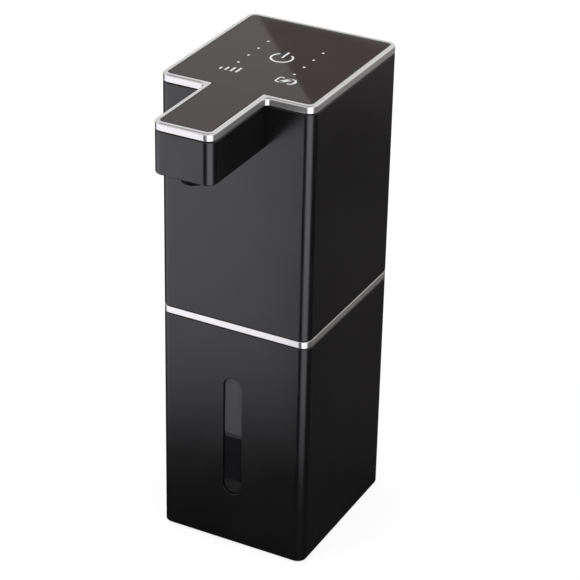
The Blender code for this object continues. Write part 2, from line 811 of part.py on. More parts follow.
def make_base_plate(parent):
    """The plate that closes the casing, with a recess for the foot pad and ribs under the tank."""
    inset = LOWER_WALL + SEAM
    outer = body_outline(inset)
    recess = body_outline(inset + PAD_MARGIN, PAD_CORNER)
    tray = loft(
        [(recess, BASE_CEILING), (recess, LOWER_BOTTOM), (outer, LOWER_BOTTOM), (outer, BASE_TOP)]
    )
    plate = piece("base_plate", tray, "black_plastic", parent)
    half_x = HALF_WIDTH - inset - RIB_MARGIN
    half_y = HALF_DEPTH - inset - RIB_MARGIN
    t = RIB_THICKNESS / 2
    cross = [
        (half_x, -t), (half_x, t), (t, t), (t, half_y), (-t, half_y), (-t, t),
        (-half_x, t), (-half_x, -t), (-t, -t), (-t, -half_y), (t, -half_y), (t, -t),
    ]
    add(plate, "ribs", [prism(cross, BASE_TOP - SEAM, TANK_BOTTOM - SEAM)])
    seat = BASE_CEILING + SCREW_HEAD_HEIGHT + SEAM
    way = screw_way(seat, BASE_CEILING - OVERRUN, BASE_TOP + OVERRUN)
    cut(plate, "screw_ways", [at(way, place) for place in base_screw_places()])


def make_base_screws(parent):
    """Four screws up through the base plate into the casing's bosses."""
    seat = BASE_CEILING + SCREW_HEAD_HEIGHT
    for number, place in enumerate(base_screw_places(), 1):
        solid = at(screw(SCREW_BITE), place, seat)
        piece("base_screw_%d" % number, solid, "steel", parent)


def make_foot_pad(parent):
    """The anti-slip pad on which the object stands."""
    inset = LOWER_WALL + SEAM + PAD_MARGIN + SEAM
    edge = body_outline(inset, PAD_CORNER - SEAM)
    sole = body_outline(inset + PAD_CHAMFER, PAD_CORNER - SEAM - PAD_CHAMFER)
    pad = loft([(sole, 0.0), (edge, PAD_CHAMFER), (edge, BASE_CEILING - SEAM)])
    piece("foot_pad", pad, "dark_rubber", parent)


# Joint between the reservoir and the pump unit

def make_mid_band(parent):
    """The silver band that covers the seam."""
    outer = body_outline(0.0)
    inner = body_outline(BAND_WALL)
    band = loft(
        [
            (outer, RESERVOIR_HEIGHT),
            (outer, BAND_TOP),
            (inner, BAND_TOP),
            (inner, RESERVOIR_HEIGHT),
        ],
        closed=True,
    )
    piece("mid_band", band, "silver_trim", parent)


def deck_screw_places():
    inset = UPPER_WALL + DECK_BOSS_INSET
    return corner_places(inset, inset)


def make_pump_deck(parent):
    """The deck that closes the pump unit from below, with the plug that fills the tank's mouth."""
    outer = body_outline(DECK_INSET)
    plug = body_outline(PLUG_INSET, PLUG_CORNER)
    groove = body_outline(PLUG_INSET + GASKET_DEPTH, PLUG_CORNER)
    hollow = body_outline(PLUG_HOLLOW_INSET, PLUG_CORNER)
    groove_bottom = PLUG_BOTTOM + GASKET_DROP - SEAM
    groove_top = groove_bottom + GASKET_HEIGHT + 2 * SEAM
    deck = piece(
        "pump_deck",
        loft(
            [
                (hollow, DECK_CEILING),
                (hollow, PLUG_BOTTOM),
                (plug, PLUG_BOTTOM),
                (plug, groove_bottom),
                (groove, groove_bottom),
                (groove, groove_top),
                (plug, groove_top),
                (plug, DECK_BOTTOM),
                (outer, DECK_BOTTOM),
                (outer, DECK_TOP),
            ]
        ),
        "grey_plastic",
        parent,
    )
    low = DECK_CEILING - BARB_LENGTH
    high = DECK_TOP + BARB_LENGTH
    barb = prism(circle(BARB_RADIUS, SMALL_STEPS), low, high)
    bore = prism(circle(BARB_BORE, SMALL_STEPS), low - OVERRUN, high + OVERRUN)
    add(deck, "barb", [at(barb, DIP_TUBE_PLACE)])
    cut(deck, "bore", [at(bore, DIP_TUBE_PLACE)])
    seat = DECK_BOTTOM + SCREW_HEAD_HEIGHT + SEAM
    way = screw_way(seat + SEAM, DECK_BOTTOM - OVERRUN, DECK_TOP + OVERRUN)
    cut(deck, "screw_ways", [at(way, place) for place in deck_screw_places()])


def make_deck_screws(parent):
    """Four screws up through the deck into the upper casing's bosses."""
    seat = DECK_BOTTOM + SCREW_HEAD_HEIGHT + SEAM
    reach = DECK_TOP + SCREW_BITE - seat
    for number, place in enumerate(deck_screw_places(), 1):
        piece("deck_screw_%d" % number, at(screw(reach), place, seat), "steel", parent)


def make_tank_gasket(parent):
    """The ring in the plug's groove that wipes the tank's mouth."""
    inner = body_outline(PLUG_INSET + GASKET_DEPTH - SEAM, PLUG_CORNER)
    crest = body_outline(TANK_MOUTH_INSET + SEAM, PLUG_CORNER)
    flank = body_outline(TANK_MOUTH_INSET + SEAM + GASKET_CREST, PLUG_CORNER)
    bottom = PLUG_BOTTOM + GASKET_DROP
    top = bottom + GASKET_HEIGHT
    ring = loft(
        [
            (inner, bottom),
            (flank, bottom),
            (crest, (bottom + top) / 2),
            (flank, top),
            (inner, top),
        ],
        closed=True,
    )
    piece("tank_gasket", ring, "pale_rubber", parent)


def make_dip_tube(parent):
    """The tube from the deck's lower barb down to the tank's floor."""
    bottom = TANK_FLOOR_TOP + SEAM + STRAINER_FLOOR + SEAM
    top = DECK_CEILING - SEAM
    tube = turned(
        [
            (DIP_TUBE_RADIUS, bottom),
            (DIP_TUBE_RADIUS, top),
            (DIP_TUBE_BORE, top),
            (DIP_TUBE_BORE, bottom),
        ],
        closed=True,
        steps=SMALL_STEPS,
    )
    piece("dip_tube", at(tube, DIP_TUBE_PLACE), "clear_plastic", parent)
    foot = TANK_FLOOR_TOP + SEAM
    floor = foot + STRAINER_FLOOR
    sleeve = DIP_TUBE_RADIUS + SEAM
    strainer = turned(
        [
            (DIP_TUBE_BORE, foot),
            (STRAINER_RADIUS, foot),
            (STRAINER_RADIUS, foot + STRAINER_HEIGHT),
            (sleeve, foot + STRAINER_HEIGHT),
            (sleeve, floor),
            (DIP_TUBE_BORE, floor),
        ],
        closed=True,
        steps=SMALL_STEPS,
    )
    made = piece("inlet_strainer", at(strainer, DIP_TUBE_PLACE), "white_plastic", parent)
    reach = STRAINER_RADIUS + OVERRUN
    half = STRAINER_NOTCH / 2
    low = foot - OVERRUN
    high = foot + STRAINER_NOTCH
    across = block((-reach, -half, low), (reach, half, high))
    along = block((-half, -reach, low), (half, reach, high))
    cut(made, "notch_across", [at(across, DIP_TUBE_PLACE)])
    cut(made, "notch_along", [at(along, DIP_TUBE_PLACE)])


# Upper casing

def make_upper_housing(parent):
    """The upper casing with its hollow spout, its bosses and the recess of the charging port."""
    outer = body_outline(0.0)
    housing = piece("upper_housing", prism(outer, UPPER_BOTTOM, UPPER_TOP), "black_plastic", parent)
    arm = SPOUT_WIDTH / 2
    root = -HALF_DEPTH + UPPER_WALL / 2
    spout = filleted(
        [
            (-arm, SPOUT_FRONT, CORNER_RADIUS),
            (arm, SPOUT_FRONT, CORNER_RADIUS),
            (arm, root, 0.0),
            (-arm, root, 0.0),
        ]
    )
    spout = without_doubles(spout)
    add(housing, "spout", [prism(spout, SPOUT_BOTTOM, UPPER_TOP)])
    inner = body_outline(UPPER_WALL)
    cut(housing, "hollow", [prism(inner, UPPER_BOTTOM - OVERRUN, UPPER_TOP + OVERRUN)])
    room = spout_cavity(0.0)
    cut(housing, "spout_hollow", [prism(room, SPOUT_BOTTOM - OVERRUN, UPPER_TOP + OVERRUN)])
    half = PASSAGE_WIDTH / 2
    passage = block(
        (-half, -HALF_DEPTH - OVERRUN, SPOUT_BOTTOM + PASSAGE_SILL),
        (half, -HALF_DEPTH + UPPER_WALL + OVERRUN, UPPER_TOP + OVERRUN),
    )
    cut(housing, "passage", [passage])
    bosses = []
    pilots = []
    floor = DECK_TOP + SEAM
    for place in deck_screw_places():
        boss = prism(circle(DECK_BOSS_RADIUS, SMALL_STEPS), floor, floor + DECK_BOSS_HEIGHT)
        bosses.append(at(boss, place))
        pilots.append(
            at(
                prism(
                    circle(SCREW_SHANK_RADIUS + SEAM, SMALL_STEPS),
                    floor - OVERRUN,
                    floor + SCREW_BITE + SEAM,
                ),
                place,
            )
        )
    add(housing, "bosses", bosses)
    spout_bosses = []
    for side in (-1, 1):
        place = (side * SPOUT_SCREW_X, SPOUT_SCREW_Y)
        low = SPOUT_COVER_TOP + SEAM
        spout_bosses.append(
            at(prism(circle(SPOUT_BOSS_RADIUS, SMALL_STEPS), low, low + SPOUT_BOSS_HEIGHT), place)
        )
        pilots.append(
            at(
                prism(
                    circle(SCREW_SHANK_RADIUS + SEAM, SMALL_STEPS),
                    low - OVERRUN,
                    low + SCREW_BITE + SEAM,
                ),
                place,
            )
        )
    add(housing, "spout_bosses", spout_bosses)
    standoffs = []
    for x, z in board_corners():
        post = prism(
            circle(STANDOFF_RADIUS, SMALL_STEPS),
            -(INNER_HALF_DEPTH + UPPER_WALL / 2),
            -(BOARD_REAR + SEAM),
        )
        standoffs.append(moved(post, (x, 0.0, z), TO_FRONT))
    add(housing, "standoffs", standoffs)
    cut(housing, "pilots", pilots)
    recess = rectangle(COVER_WIDTH + 2 * SEAM, COVER_TALL + 2 * SEAM, COVER_CORNER + SEAM)
    hole = rectangle(PORT_WIDTH + 2 * SEAM, PORT_THICKNESS + 2 * SEAM, PORT_CORNER + SEAM)
    port = loft(
        [
            (recess, -(HALF_DEPTH + OVERRUN)),
            (recess, -COVER_FLOOR),
            (hole, -COVER_FLOOR),
            (hole, -(HALF_DEPTH - UPPER_WALL - OVERRUN)),
        ]
    )
    cut(housing, "port_recess", [moved(port, (0.0, 0.0, PORT_LEVEL), TO_FRONT)])


def without_doubles(outline):
    """An outline with points that repeat the one before left out."""
    kept = []
    for point in outline:
        if not kept or (Vector(point) - Vector(kept[-1])).length > SEAM / 100:
            kept.append(point)
    return kept


def spout_cavity(inset):
    """The spout's hollow in plan, from behind its front wall to the body's face."""
    arm = SPOUT_WIDTH / 2 - SPOUT_WALL - inset
    front = SPOUT_FRONT + SPOUT_WALL + inset
    back = -HALF_DEPTH - inset
    round_end = CORNER_RADIUS - SPOUT_WALL
    outline = [
        (-arm, front, round_end),
        (arm, front, round_end),
        (arm, back, 0.0),
        (-arm, back, 0.0),
    ]
    return without_doubles(filleted(outline))


def board_corners():
    """The main board's four fixing places, as (x, z)."""
    half = BOARD_WIDTH / 2 - STANDOFF_INSET
    low = BOARD_BOTTOM + STANDOFF_INSET
    high = BOARD_BOTTOM + BOARD_HEIGHT - STANDOFF_INSET
    return [(-half, low), (half, low), (-half, high), (half, high)]


def make_spout_cover(parent):
    """The lid under the spout, with the nozzle's hole, the sensor's window seat and two posts."""
    lid = piece(
        "spout_cover",
        prism(spout_cavity(SEAM), SPOUT_BOTTOM, SPOUT_COVER_TOP),
        "black_plastic",
        parent,
    )
    posts = []
    for side in (-1, 1):
        post = prism(
            circle(SENSOR_POST_RADIUS, SMALL_STEPS),
            SPOUT_COVER_TOP - SEAM,
            SENSOR_BOARD_BOTTOM - SEAM,
        )
        posts.append(at(post, (side * SENSOR_POST_SPREAD, SENSOR_Y)))
    add(lid, "posts", posts)
    hole = prism(
        circle(NOZZLE_TIP_RADIUS + SEAM),
        SPOUT_BOTTOM - OVERRUN,
        SPOUT_COVER_TOP + OVERRUN,
    )
    cut(lid, "nozzle_hole", [at(hole, (0.0, NOZZLE_Y))])
    window = loft(
        [
            (sensor_outline(-SENSOR_LIP), SPOUT_BOTTOM - OVERRUN),
            (sensor_outline(-SENSOR_LIP), SPOUT_BOTTOM + SENSOR_LIP - SEAM),
            (sensor_outline(SEAM), SPOUT_BOTTOM + SENSOR_LIP - SEAM),
            (sensor_outline(SEAM), SPOUT_COVER_TOP + OVERRUN),
        ]
    )
    cut(lid, "window_seat", [window])
    seat = SPOUT_BOTTOM + SCREW_HEAD_HEIGHT + SEAM
    way = screw_way(seat + SEAM, SPOUT_BOTTOM - OVERRUN, SPOUT_COVER_TOP + OVERRUN)
    cut(
        lid,
        "screw_ways",
        [at(way, (side * SPOUT_SCREW_X, SPOUT_SCREW_Y)) for side in (-1, 1)],
    )
    for number, side in enumerate((-1, 1), 1):
        solid = at(screw(SCREW_BITE), (side * SPOUT_SCREW_X, SPOUT_SCREW_Y), seat)
        piece("spout_screw_%d" % number, solid, "steel", parent)


def sensor_outline(grow):
    """The sensor window's outline, grown by the given amount."""
    return rectangle(
        SENSOR_WIDTH + 2 * grow,
        SENSOR_DEPTH + 2 * grow,
        SENSOR_CORNER + grow,
        (0.0, SENSOR_Y),
    )


def make_sensor(parent):
    """The window, the emitter and receiver above it, and the board that carries them."""
    window = prism(sensor_outline(0.0), SPOUT_BOTTOM + SENSOR_LIP, SENSOR_TOP)
    piece("sensor_window", window, "sensor_filter", parent)
    for name, side in (("ir_emitter", -1), ("ir_receiver", 1)):
        lens = turned(
            [
                (LED_LENS_RADIUS / 2, LENS_BOTTOM),
                (LED_LENS_RADIUS, LENS_BOTTOM + LED_LENS_DOME),
                (LED_LENS_RADIUS, LENS_BOTTOM + LED_LENS_HEIGHT),
            ],
            steps=SMALL_STEPS,
        )
        finish = "clear_plastic" if side < 0 else "sensor_filter"
        piece(name, at(lens, (side * LED_LENS_SPREAD, SENSOR_Y)), finish, parent)
    outline = rectangle(SENSOR_BOARD_WIDTH, SENSOR_BOARD_DEPTH, NECK_RADIUS, (0.0, SENSOR_Y))
    board = prism(outline, SENSOR_BOARD_BOTTOM, SENSOR_BOARD_BOTTOM + SENSOR_BOARD_THICKNESS)
    piece("sensor_board", board, "circuit_board", parent)


def make_nozzle(parent):
    """The foam chamber over the lid, the mesh cartridge in it and the tip below the spout."""
    place = (0.0, NOZZLE_Y)
    top = NOZZLE_BOTTOM + NOZZLE_BODY_HEIGHT
    shelf = NOZZLE_BOTTOM + NOZZLE_CHAMBER_HEIGHT
    throat = shelf + NOZZLE_THROAT_HEIGHT
    chamber = turned(
        [
            (NOZZLE_THROAT_RADIUS, throat),
            (NOZZLE_THROAT_RADIUS, shelf),
            (NOZZLE_BODY_BORE, shelf),
            (NOZZLE_BODY_BORE, NOZZLE_BOTTOM),
            (NOZZLE_BODY_RADIUS, NOZZLE_BOTTOM),
            (NOZZLE_BODY_RADIUS, top),
        ]
    )
    body = piece("nozzle_body", at(chamber, place), "white_plastic", parent)
    near = NOZZLE_Y + NOZZLE_BODY_RADIUS
    barb = prism(
        circle(BARB_RADIUS, SMALL_STEPS),
        -(near + NOZZLE_BARB_LENGTH),
        -(near - NOZZLE_BODY_RADIUS / 2),
    )
    bore = prism(
        circle(BARB_BORE, SMALL_STEPS),
        -(near + NOZZLE_BARB_LENGTH + OVERRUN),
        -NOZZLE_Y,
    )
    level = (0.0, 0.0, NOZZLE_INLET_LEVEL)
    add(body, "barb", [moved(barb, level, TO_FRONT)])
    cut(body, "inlet", [moved(bore, level, TO_FRONT)])
    outer = NOZZLE_BODY_BORE - SEAM
    inner = outer - MESH_WALL
    low = SPOUT_COVER_TOP + NOZZLE_SPIGOT_HEIGHT + SEAM
    high = low + MESH_HEIGHT
    middle = (low + high) / 2
    cartridge = turned(
        [
            (inner, middle - MESH_SCREEN / 2),
            (inner, low),
            (outer, low),
            (outer, high),
            (inner, high),
            (inner, middle + MESH_SCREEN / 2),
        ]
    )
    piece("mesh_cartridge", at(cartridge, place), "white_plastic", parent)
    tip_bottom = SPOUT_BOTTOM - NOZZLE_TIP_PROUD
    tip = turned(
        [
            (NOZZLE_TIP_BORE, tip_bottom),
            (NOZZLE_TIP_RADIUS - NECK_RADIUS, tip_bottom),
            (NOZZLE_TIP_RADIUS, tip_bottom + NECK_RADIUS),
            (NOZZLE_TIP_RADIUS, SPOUT_COVER_TOP),
            (NOZZLE_SPIGOT_RADIUS, SPOUT_COVER_TOP),
            (NOZZLE_SPIGOT_RADIUS, SPOUT_COVER_TOP + NOZZLE_SPIGOT_HEIGHT),
            (NOZZLE_TIP_BORE, SPOUT_COVER_TOP + NOZZLE_SPIGOT_HEIGHT),
        ],
        closed=True,
    )
    piece("nozzle_tip", at(tip, place), "black_plastic", parent)


# Touch top

def make_top_bezel(parent):
    """The silver T-shaped frame, with a ledge that carries the panel."""
    ledge_top = BEZEL_BOTTOM + BEZEL_LEDGE_HEIGHT
    ledge = BEZEL_RIM + BEZEL_LEDGE
    frame = loft(
        [
            (top_outline(ledge), BEZEL_BOTTOM),
            (top_outline(0.0), BEZEL_BOTTOM),
            (top_outline(0.0), OVERALL_HEIGHT - BEZEL_BREAK),
            (top_outline(BEZEL_BREAK), OVERALL_HEIGHT),
            (top_outline(BEZEL_RIM), OVERALL_HEIGHT),
            (top_outline(BEZEL_RIM), ledge_top),
            (top_outline(ledge), ledge_top),
        ],
        closed=True,
    )
    piece("top_bezel", frame, "silver_trim", parent)


def make_touch_panel(parent):
    """The black T-shaped panel, flush with the bezel's rim."""
    panel = prism(top_outline(BEZEL_RIM + SEAM), PANEL_BOTTOM, OVERALL_HEIGHT)
    piece("touch_panel", panel, "black_glass", parent)


def icon_windows():
    """The places of the lit icons in plan, as (x, y, width, depth)."""
    windows = [
        (-BARS_CENTRE, -ICON_ROW, ICON_WINDOW_WIDTH, ICON_WINDOW_DEPTH),
        (BATTERY_ICON_CENTRE, -ICON_ROW, ICON_WINDOW_WIDTH, ICON_WINDOW_DEPTH),
    ]
    for side in (-1, 1):
        for step in range(DOT_COUNT):
            y = (step - (DOT_COUNT - 1) / 2) * DOT_PITCH
            windows.append((side * DOT_COLUMN, y, 2 * DOT_WINDOW, 2 * DOT_WINDOW))
    return windows


def make_light_guide(parent):
    """The light shield between the board and the panel, with a window under each icon."""
    inset = BEZEL_RIM + BEZEL_LEDGE + GUIDE_MARGIN
    outline = body_outline(inset, GUIDE_CORNER)
    guide = piece("light_guide", prism(outline, GUIDE_BOTTOM, GUIDE_TOP), "white_plastic", parent)
    low = GUIDE_BOTTOM - OVERRUN
    high = GUIDE_TOP + OVERRUN
    windows = [prism(circle(POWER_WINDOW), low, high)]
    for x, y, width, depth in icon_windows():
        windows.append(prism(rectangle(width, depth, NECK_RADIUS, (x, y), WINDOW_STEPS), low, high))
    cut(guide, "windows", windows)


def make_touch_board(parent):
    """The board with a light for each icon."""
    inset = BEZEL_RIM + BEZEL_LEDGE + GUIDE_MARGIN + TOUCH_BOARD_MARGIN
    outline = body_outline(inset, GUIDE_CORNER)
    board = piece(
        "touch_board",
        prism(outline, TOUCH_BOARD_BOTTOM, TOUCH_BOARD_TOP),
        "circuit_board",
        parent,
    )
    half = LED_SIDE / 2
    lights = []
    for x, y, _, _ in icon_windows():
        lights.append(
            block(
                (x - half, y - half, TOUCH_BOARD_TOP - LED_HEIGHT / 2),
                (x + half, y + half, TOUCH_BOARD_TOP + LED_HEIGHT),
            )
        )
    add(board, "lights", lights)


def make_touch_spring(parent):
    """The coil that carries the power key's touch field from the board to the panel."""
    low = TOUCH_BOARD_TOP + SEAM + SPRING_WIRE
    high = PANEL_BOTTOM - SEAM - SPRING_WIRE
    steps = SPRING_TURNS * SMALL_STEPS
    route = []
    for step in range(steps + 1):
        turn = 2 * math.pi * step / SMALL_STEPS
        height = low + (high - low) * step / steps
        route.append(Vector((SPRING_RADIUS * math.cos(turn), SPRING_RADIUS * math.sin(turn), height)))
    piece("touch_spring", swept(route, SPRING_WIRE, sides=SPRING_SIDES), "steel", parent)


# Pump

def pump_screw_offsets():
    half = PUMP_SIDE / 2 - PUMP_SCREW_INSET
    return [(a * half, b * half) for a in (-1, 1) for b in (-1, 1)]


def pump_layer(name, outline, low, high, finish, parent, reach=None):
    """A layer of the square stack. Its four screw holes go through, or as deep as reach."""
    made = piece(name, around_pump(prism(outline, low, high)), finish, parent)
    end = high + OVERRUN if reach is None else low + reach
    hole = prism(circle(PUMP_SCREW_HOLE, HOLE_STEPS), low - OVERRUN, end)
    cut(made, "screw_holes", [around_pump(hole, place) for place in pump_screw_offsets()])
    return made


def cup_offsets():
    """The cups' places round the pump's axis."""
    turns = [2 * math.pi * number / CUP_COUNT + math.pi / 2 for number in range(CUP_COUNT)]
    return [(CUP_CIRCLE * math.cos(t), CUP_CIRCLE * math.sin(t)) for t in turns]


def around_pump(solid, offset=(0.0, 0.0)):
    """A solid moved to a place counted from the pump's axis."""
    return at(solid, (PUMP_X + offset[0], PUMP_Y + offset[1]))


def make_pump(parent):
    """The stack of the pump: pad, cover with its ports, valves, chambers, diaphragm and crankcase."""
    square = rectangle(PUMP_SIDE, PUMP_SIDE, PUMP_CORNER)
    pad = prism(circle(PUMP_PAD_RADIUS), PAD_BOTTOM, PAD_BOTTOM + PUMP_PAD_HEIGHT)
    piece("pump_pad", around_pump(pad), "dark_rubber", parent)

    cover = pump_layer("pump_cover", square, COVER_BOTTOM, COVER_TOP, "white_plastic", parent)
    face = PUMP_Y - PUMP_SIDE / 2
    mouth = -(face - BARB_LENGTH)
    port = prism(circle(BARB_RADIUS, SMALL_STEPS), -(face + BARB_RADIUS), mouth)
    way = prism(circle(BARB_BORE, SMALL_STEPS), -(face + PORT_SPREAD), mouth + OVERRUN)
    places = [(PUMP_X + side * PORT_SPREAD, 0.0, PORT_AXIS_HEIGHT) for side in (-1, 1)]
    add(cover, "ports", [moved(port, place, TO_FRONT) for place in places])
    cut(cover, "port_bores", [moved(way, place, TO_FRONT) for place in places])
    wells = []
    for x, _, _ in places:
        well = prism(circle(BARB_BORE, SMALL_STEPS), PORT_AXIS_HEIGHT, COVER_TOP + OVERRUN)
        wells.append(at(well, (x, face + PORT_SPREAD - BARB_BORE)))
    cut(cover, "wells", wells)

    valve = pump_layer("valve_disc", square, VALVE_BOTTOM, VALVE_TOP, "pale_rubber", parent)
    hole = prism(circle(BARB_BORE, HOLE_STEPS), VALVE_BOTTOM - OVERRUN, VALVE_TOP + OVERRUN)
    cut(valve, "valve_holes", [around_pump(hole, place) for place in cup_offsets()])

    chamber = pump_layer("pump_chamber", square, CHAMBER_BOTTOM, CHAMBER_TOP, "white_plastic", parent)
    rooms = []
    for place in cup_offsets():
        profile = [
            (BARB_BORE, CHAMBER_BOTTOM - OVERRUN),
            (BARB_BORE, CHAMBER_TOP - CUP_DEPTH - 2 * SEAM),
            (CUP_RADIUS + SEAM, CHAMBER_TOP - CUP_DEPTH - 2 * SEAM),
            (CUP_RADIUS + SEAM, CHAMBER_TOP + OVERRUN),
        ]
        rooms.append(around_pump(turned(profile, steps=SMALL_STEPS), place))
    cut(chamber, "cup_rooms", rooms)

    diaphragm = pump_layer(
        "diaphragm", square, DIAPHRAGM_BOTTOM, DIAPHRAGM_TOP, "pale_rubber", parent
    )
    level = DIAPHRAGM_TOP - SEAM
    cup = prism(circle(CUP_RADIUS, SMALL_STEPS), DIAPHRAGM_BOTTOM + SEAM - CUP_DEPTH, level)
    button = prism(circle(CUP_BUTTON_RADIUS, SMALL_STEPS), level, BUTTON_TOP)
    add(diaphragm, "cups", [around_pump(cup, place) for place in cup_offsets()])
    add(diaphragm, "buttons", [around_pump(button, place) for place in cup_offsets()])

    case = pump_layer(
        "crankcase", square, CRANKCASE_BOTTOM, CRANKCASE_CAP, "grey_plastic", parent, PUMP_SCREW_REACH
    )
    room = turned(
        [
            (CRANKCASE_BORE, CRANKCASE_BOTTOM - OVERRUN),
            (CRANKCASE_BORE, CRANKCASE_CAP - CRANKCASE_TOP),
            (MOTOR_BOSS_RADIUS + SEAM, CRANKCASE_CAP - CRANKCASE_TOP),
            (MOTOR_BOSS_RADIUS + SEAM, CRANKCASE_CAP + OVERRUN),
        ]
    )
    cut(case, "room", [around_pump(room)])


def make_pump_screws(parent):
    """Four long screws that hold the stack together from below."""
    seat = COVER_BOTTOM - SEAM
    reach = CRANKCASE_BOTTOM + PUMP_SCREW_REACH - SEAM - seat
    for number, place in enumerate(pump_screw_offsets(), 1):
        solid = moved(screw(reach), (PUMP_X + place[0], PUMP_Y + place[1], seat))
        piece("pump_screw_%d" % number, solid, "steel", parent)


def make_motor(parent):
    """The motor's can, its end cap, and the bracket that holds the can upright on the deck."""
    can = turned(
        [
            (SHAFT_RADIUS + SEAM, MOTOR_BOTTOM - MOTOR_BOSS_HEIGHT),
            (MOTOR_BOSS_RADIUS, MOTOR_BOTTOM - MOTOR_BOSS_HEIGHT),
            (MOTOR_BOSS_RADIUS, MOTOR_BOTTOM),
            (MOTOR_RADIUS, MOTOR_BOTTOM),
            (MOTOR_RADIUS, MOTOR_TOP),
            (MOTOR_RADIUS - MOTOR_WALL, MOTOR_TOP),
            (MOTOR_RADIUS - MOTOR_WALL, MOTOR_BOTTOM + MOTOR_WALL),
            (SHAFT_RADIUS + SEAM, MOTOR_BOTTOM + MOTOR_WALL),
        ],
        closed=True,
    )
    piece("motor_can", around_pump(can), "steel", parent)
    low = MOTOR_TOP + SEAM
    cap = turned(
        [
            (SHAFT_RADIUS + SEAM, low),
            (MOTOR_RADIUS, low),
            (MOTOR_RADIUS, low + END_CAP_HEIGHT),
            (END_CAP_HUB_RADIUS, low + END_CAP_HEIGHT),
            (END_CAP_HUB_RADIUS, low + END_CAP_HEIGHT + END_CAP_HUB_HEIGHT),
            (SHAFT_RADIUS + SEAM, low + END_CAP_HEIGHT + END_CAP_HUB_HEIGHT),
        ],
        closed=True,
    )
    piece("motor_end_cap", around_pump(cap), "white_plastic", parent)

    inner = MOTOR_RADIUS + SEAM
    outer = inner + BRACKET_WALL
    low = DECK_TOP + BRACKET_BAND_RISE
    high = low + BRACKET_BAND_HEIGHT
    band = turned([(inner, low), (outer, low), (outer, high), (inner, high)], closed=True)
    bracket = piece("motor_bracket", around_pump(band), "grey_plastic", parent)
    half = BRACKET_LEG_WIDTH / 2
    foot_half = half + BRACKET_WALL
    near = PUMP_SIDE / 2 + SEAM
    far = near + BRACKET_WALL
    toe = far + BRACKET_FOOT_LENGTH
    floor = DECK_TOP + SEAM
    shoulder = inner + BRACKET_WALL / 2
    leg_top = high - SEAM
    leg = [
        (near, floor),
        (far, floor),
        (far, leg_top),
        (shoulder, leg_top),
        (shoulder, low + SEAM),
        (near, low + SEAM),
    ]
    for label, side in (("front", -1), ("rear", 1)):
        outline = [(side * y, z) for y, z in leg[::side]]
        solid = moved(prism(outline, -half, half), rotation=TO_SIDE)
        add(bracket, label + "_leg", [around_pump(solid)])
        edges = sorted((side * (near + BRACKET_WALL / 2), side * toe))
        foot = block((-foot_half, edges[0], floor), (foot_half, edges[1], floor + BRACKET_WALL))
        add(bracket, label + "_foot", [around_pump(foot)])


def make_rotor(parent):
    """What turns with the motor: its shaft and armature, the eccentric wheel and the tilted pin."""
    top = MOTOR_TOP + SEAM + END_CAP_HEIGHT + END_CAP_HUB_HEIGHT
    shaft = prism(circle(SHAFT_RADIUS, SMALL_STEPS), SHAFT_BOTTOM, top)
    piece("motor_shaft", around_pump(shaft), "steel", parent)
    low = MOTOR_BOTTOM + MOTOR_WALL + ARMATURE_MARGIN
    high = MOTOR_TOP - ARMATURE_MARGIN
    bore = SHAFT_RADIUS + SEAM
    core = turned(
        [(bore, low), (ARMATURE_RADIUS, low), (ARMATURE_RADIUS, high), (bore, high)], closed=True
    )
    armature = piece("motor_armature", around_pump(core), "copper", parent)
    gaps = []
    half = ARMATURE_SLOT / 2
    gap = block(
        (ARMATURE_RADIUS / 2, -half, low - OVERRUN),
        (ARMATURE_RADIUS + OVERRUN, half, high + OVERRUN),
    )
    for number in range(ARMATURE_POLES):
        turn = Matrix.Rotation(2 * math.pi * number / ARMATURE_POLES, 4, "Z")
        gaps.append(around_pump(moved(gap, rotation=turn)))
    cut(armature, "slots", gaps)

    wheel = piece(
        "eccentric_wheel",
        around_pump(prism(circle(ECCENTRIC_RADIUS), ECCENTRIC_BOTTOM, ECCENTRIC_TOP)),
        "white_plastic",
        parent,
    )
    seat = prism(
        circle(SHAFT_RADIUS + SEAM, SMALL_STEPS), SHAFT_BOTTOM - SEAM, ECCENTRIC_TOP + OVERRUN
    )
    tilt = Matrix.Rotation(PIN_TILT, 4, "Y")
    pivot = (PUMP_X, PUMP_Y, PIVOT_HEIGHT)
    pin_hole = prism(
        circle(PIN_RADIUS + SEAM, SMALL_STEPS), ECCENTRIC_RISE - OVERRUN, PIN_LENGTH + SEAM
    )
    cut(wheel, "shaft_seat", [around_pump(seat)])
    cut(wheel, "pin_seat", [moved(pin_hole, pivot, tilt)])
    pin = prism(circle(PIN_RADIUS, SMALL_STEPS), SEAM, PIN_LENGTH)
    piece("drive_pin", moved(pin, pivot, tilt), "steel", parent)


def make_wobble_plate(parent):
    """The plate on the tilted pin, in the pin's own frame with its pivot at the origin."""
    low = WOBBLE_RISE - WOBBLE_THICKNESS / 2
    high = WOBBLE_RISE + WOBBLE_THICKNESS / 2
    bore = PIN_RADIUS + PIN_CLEARANCE
    plate = turned(
        [
            (bore, low),
            (WOBBLE_RADIUS, low),
            (WOBBLE_RADIUS, high),
            (WOBBLE_HUB_RADIUS, high),
            (WOBBLE_HUB_RADIUS, high + WOBBLE_HUB_HEIGHT - WOBBLE_THICKNESS),
            (bore, high + WOBBLE_HUB_HEIGHT - WOBBLE_THICKNESS),
        ],
        closed=True,
    )
    piece("wobble_plate", plate, "white_plastic", parent, local=True)


# Power and control

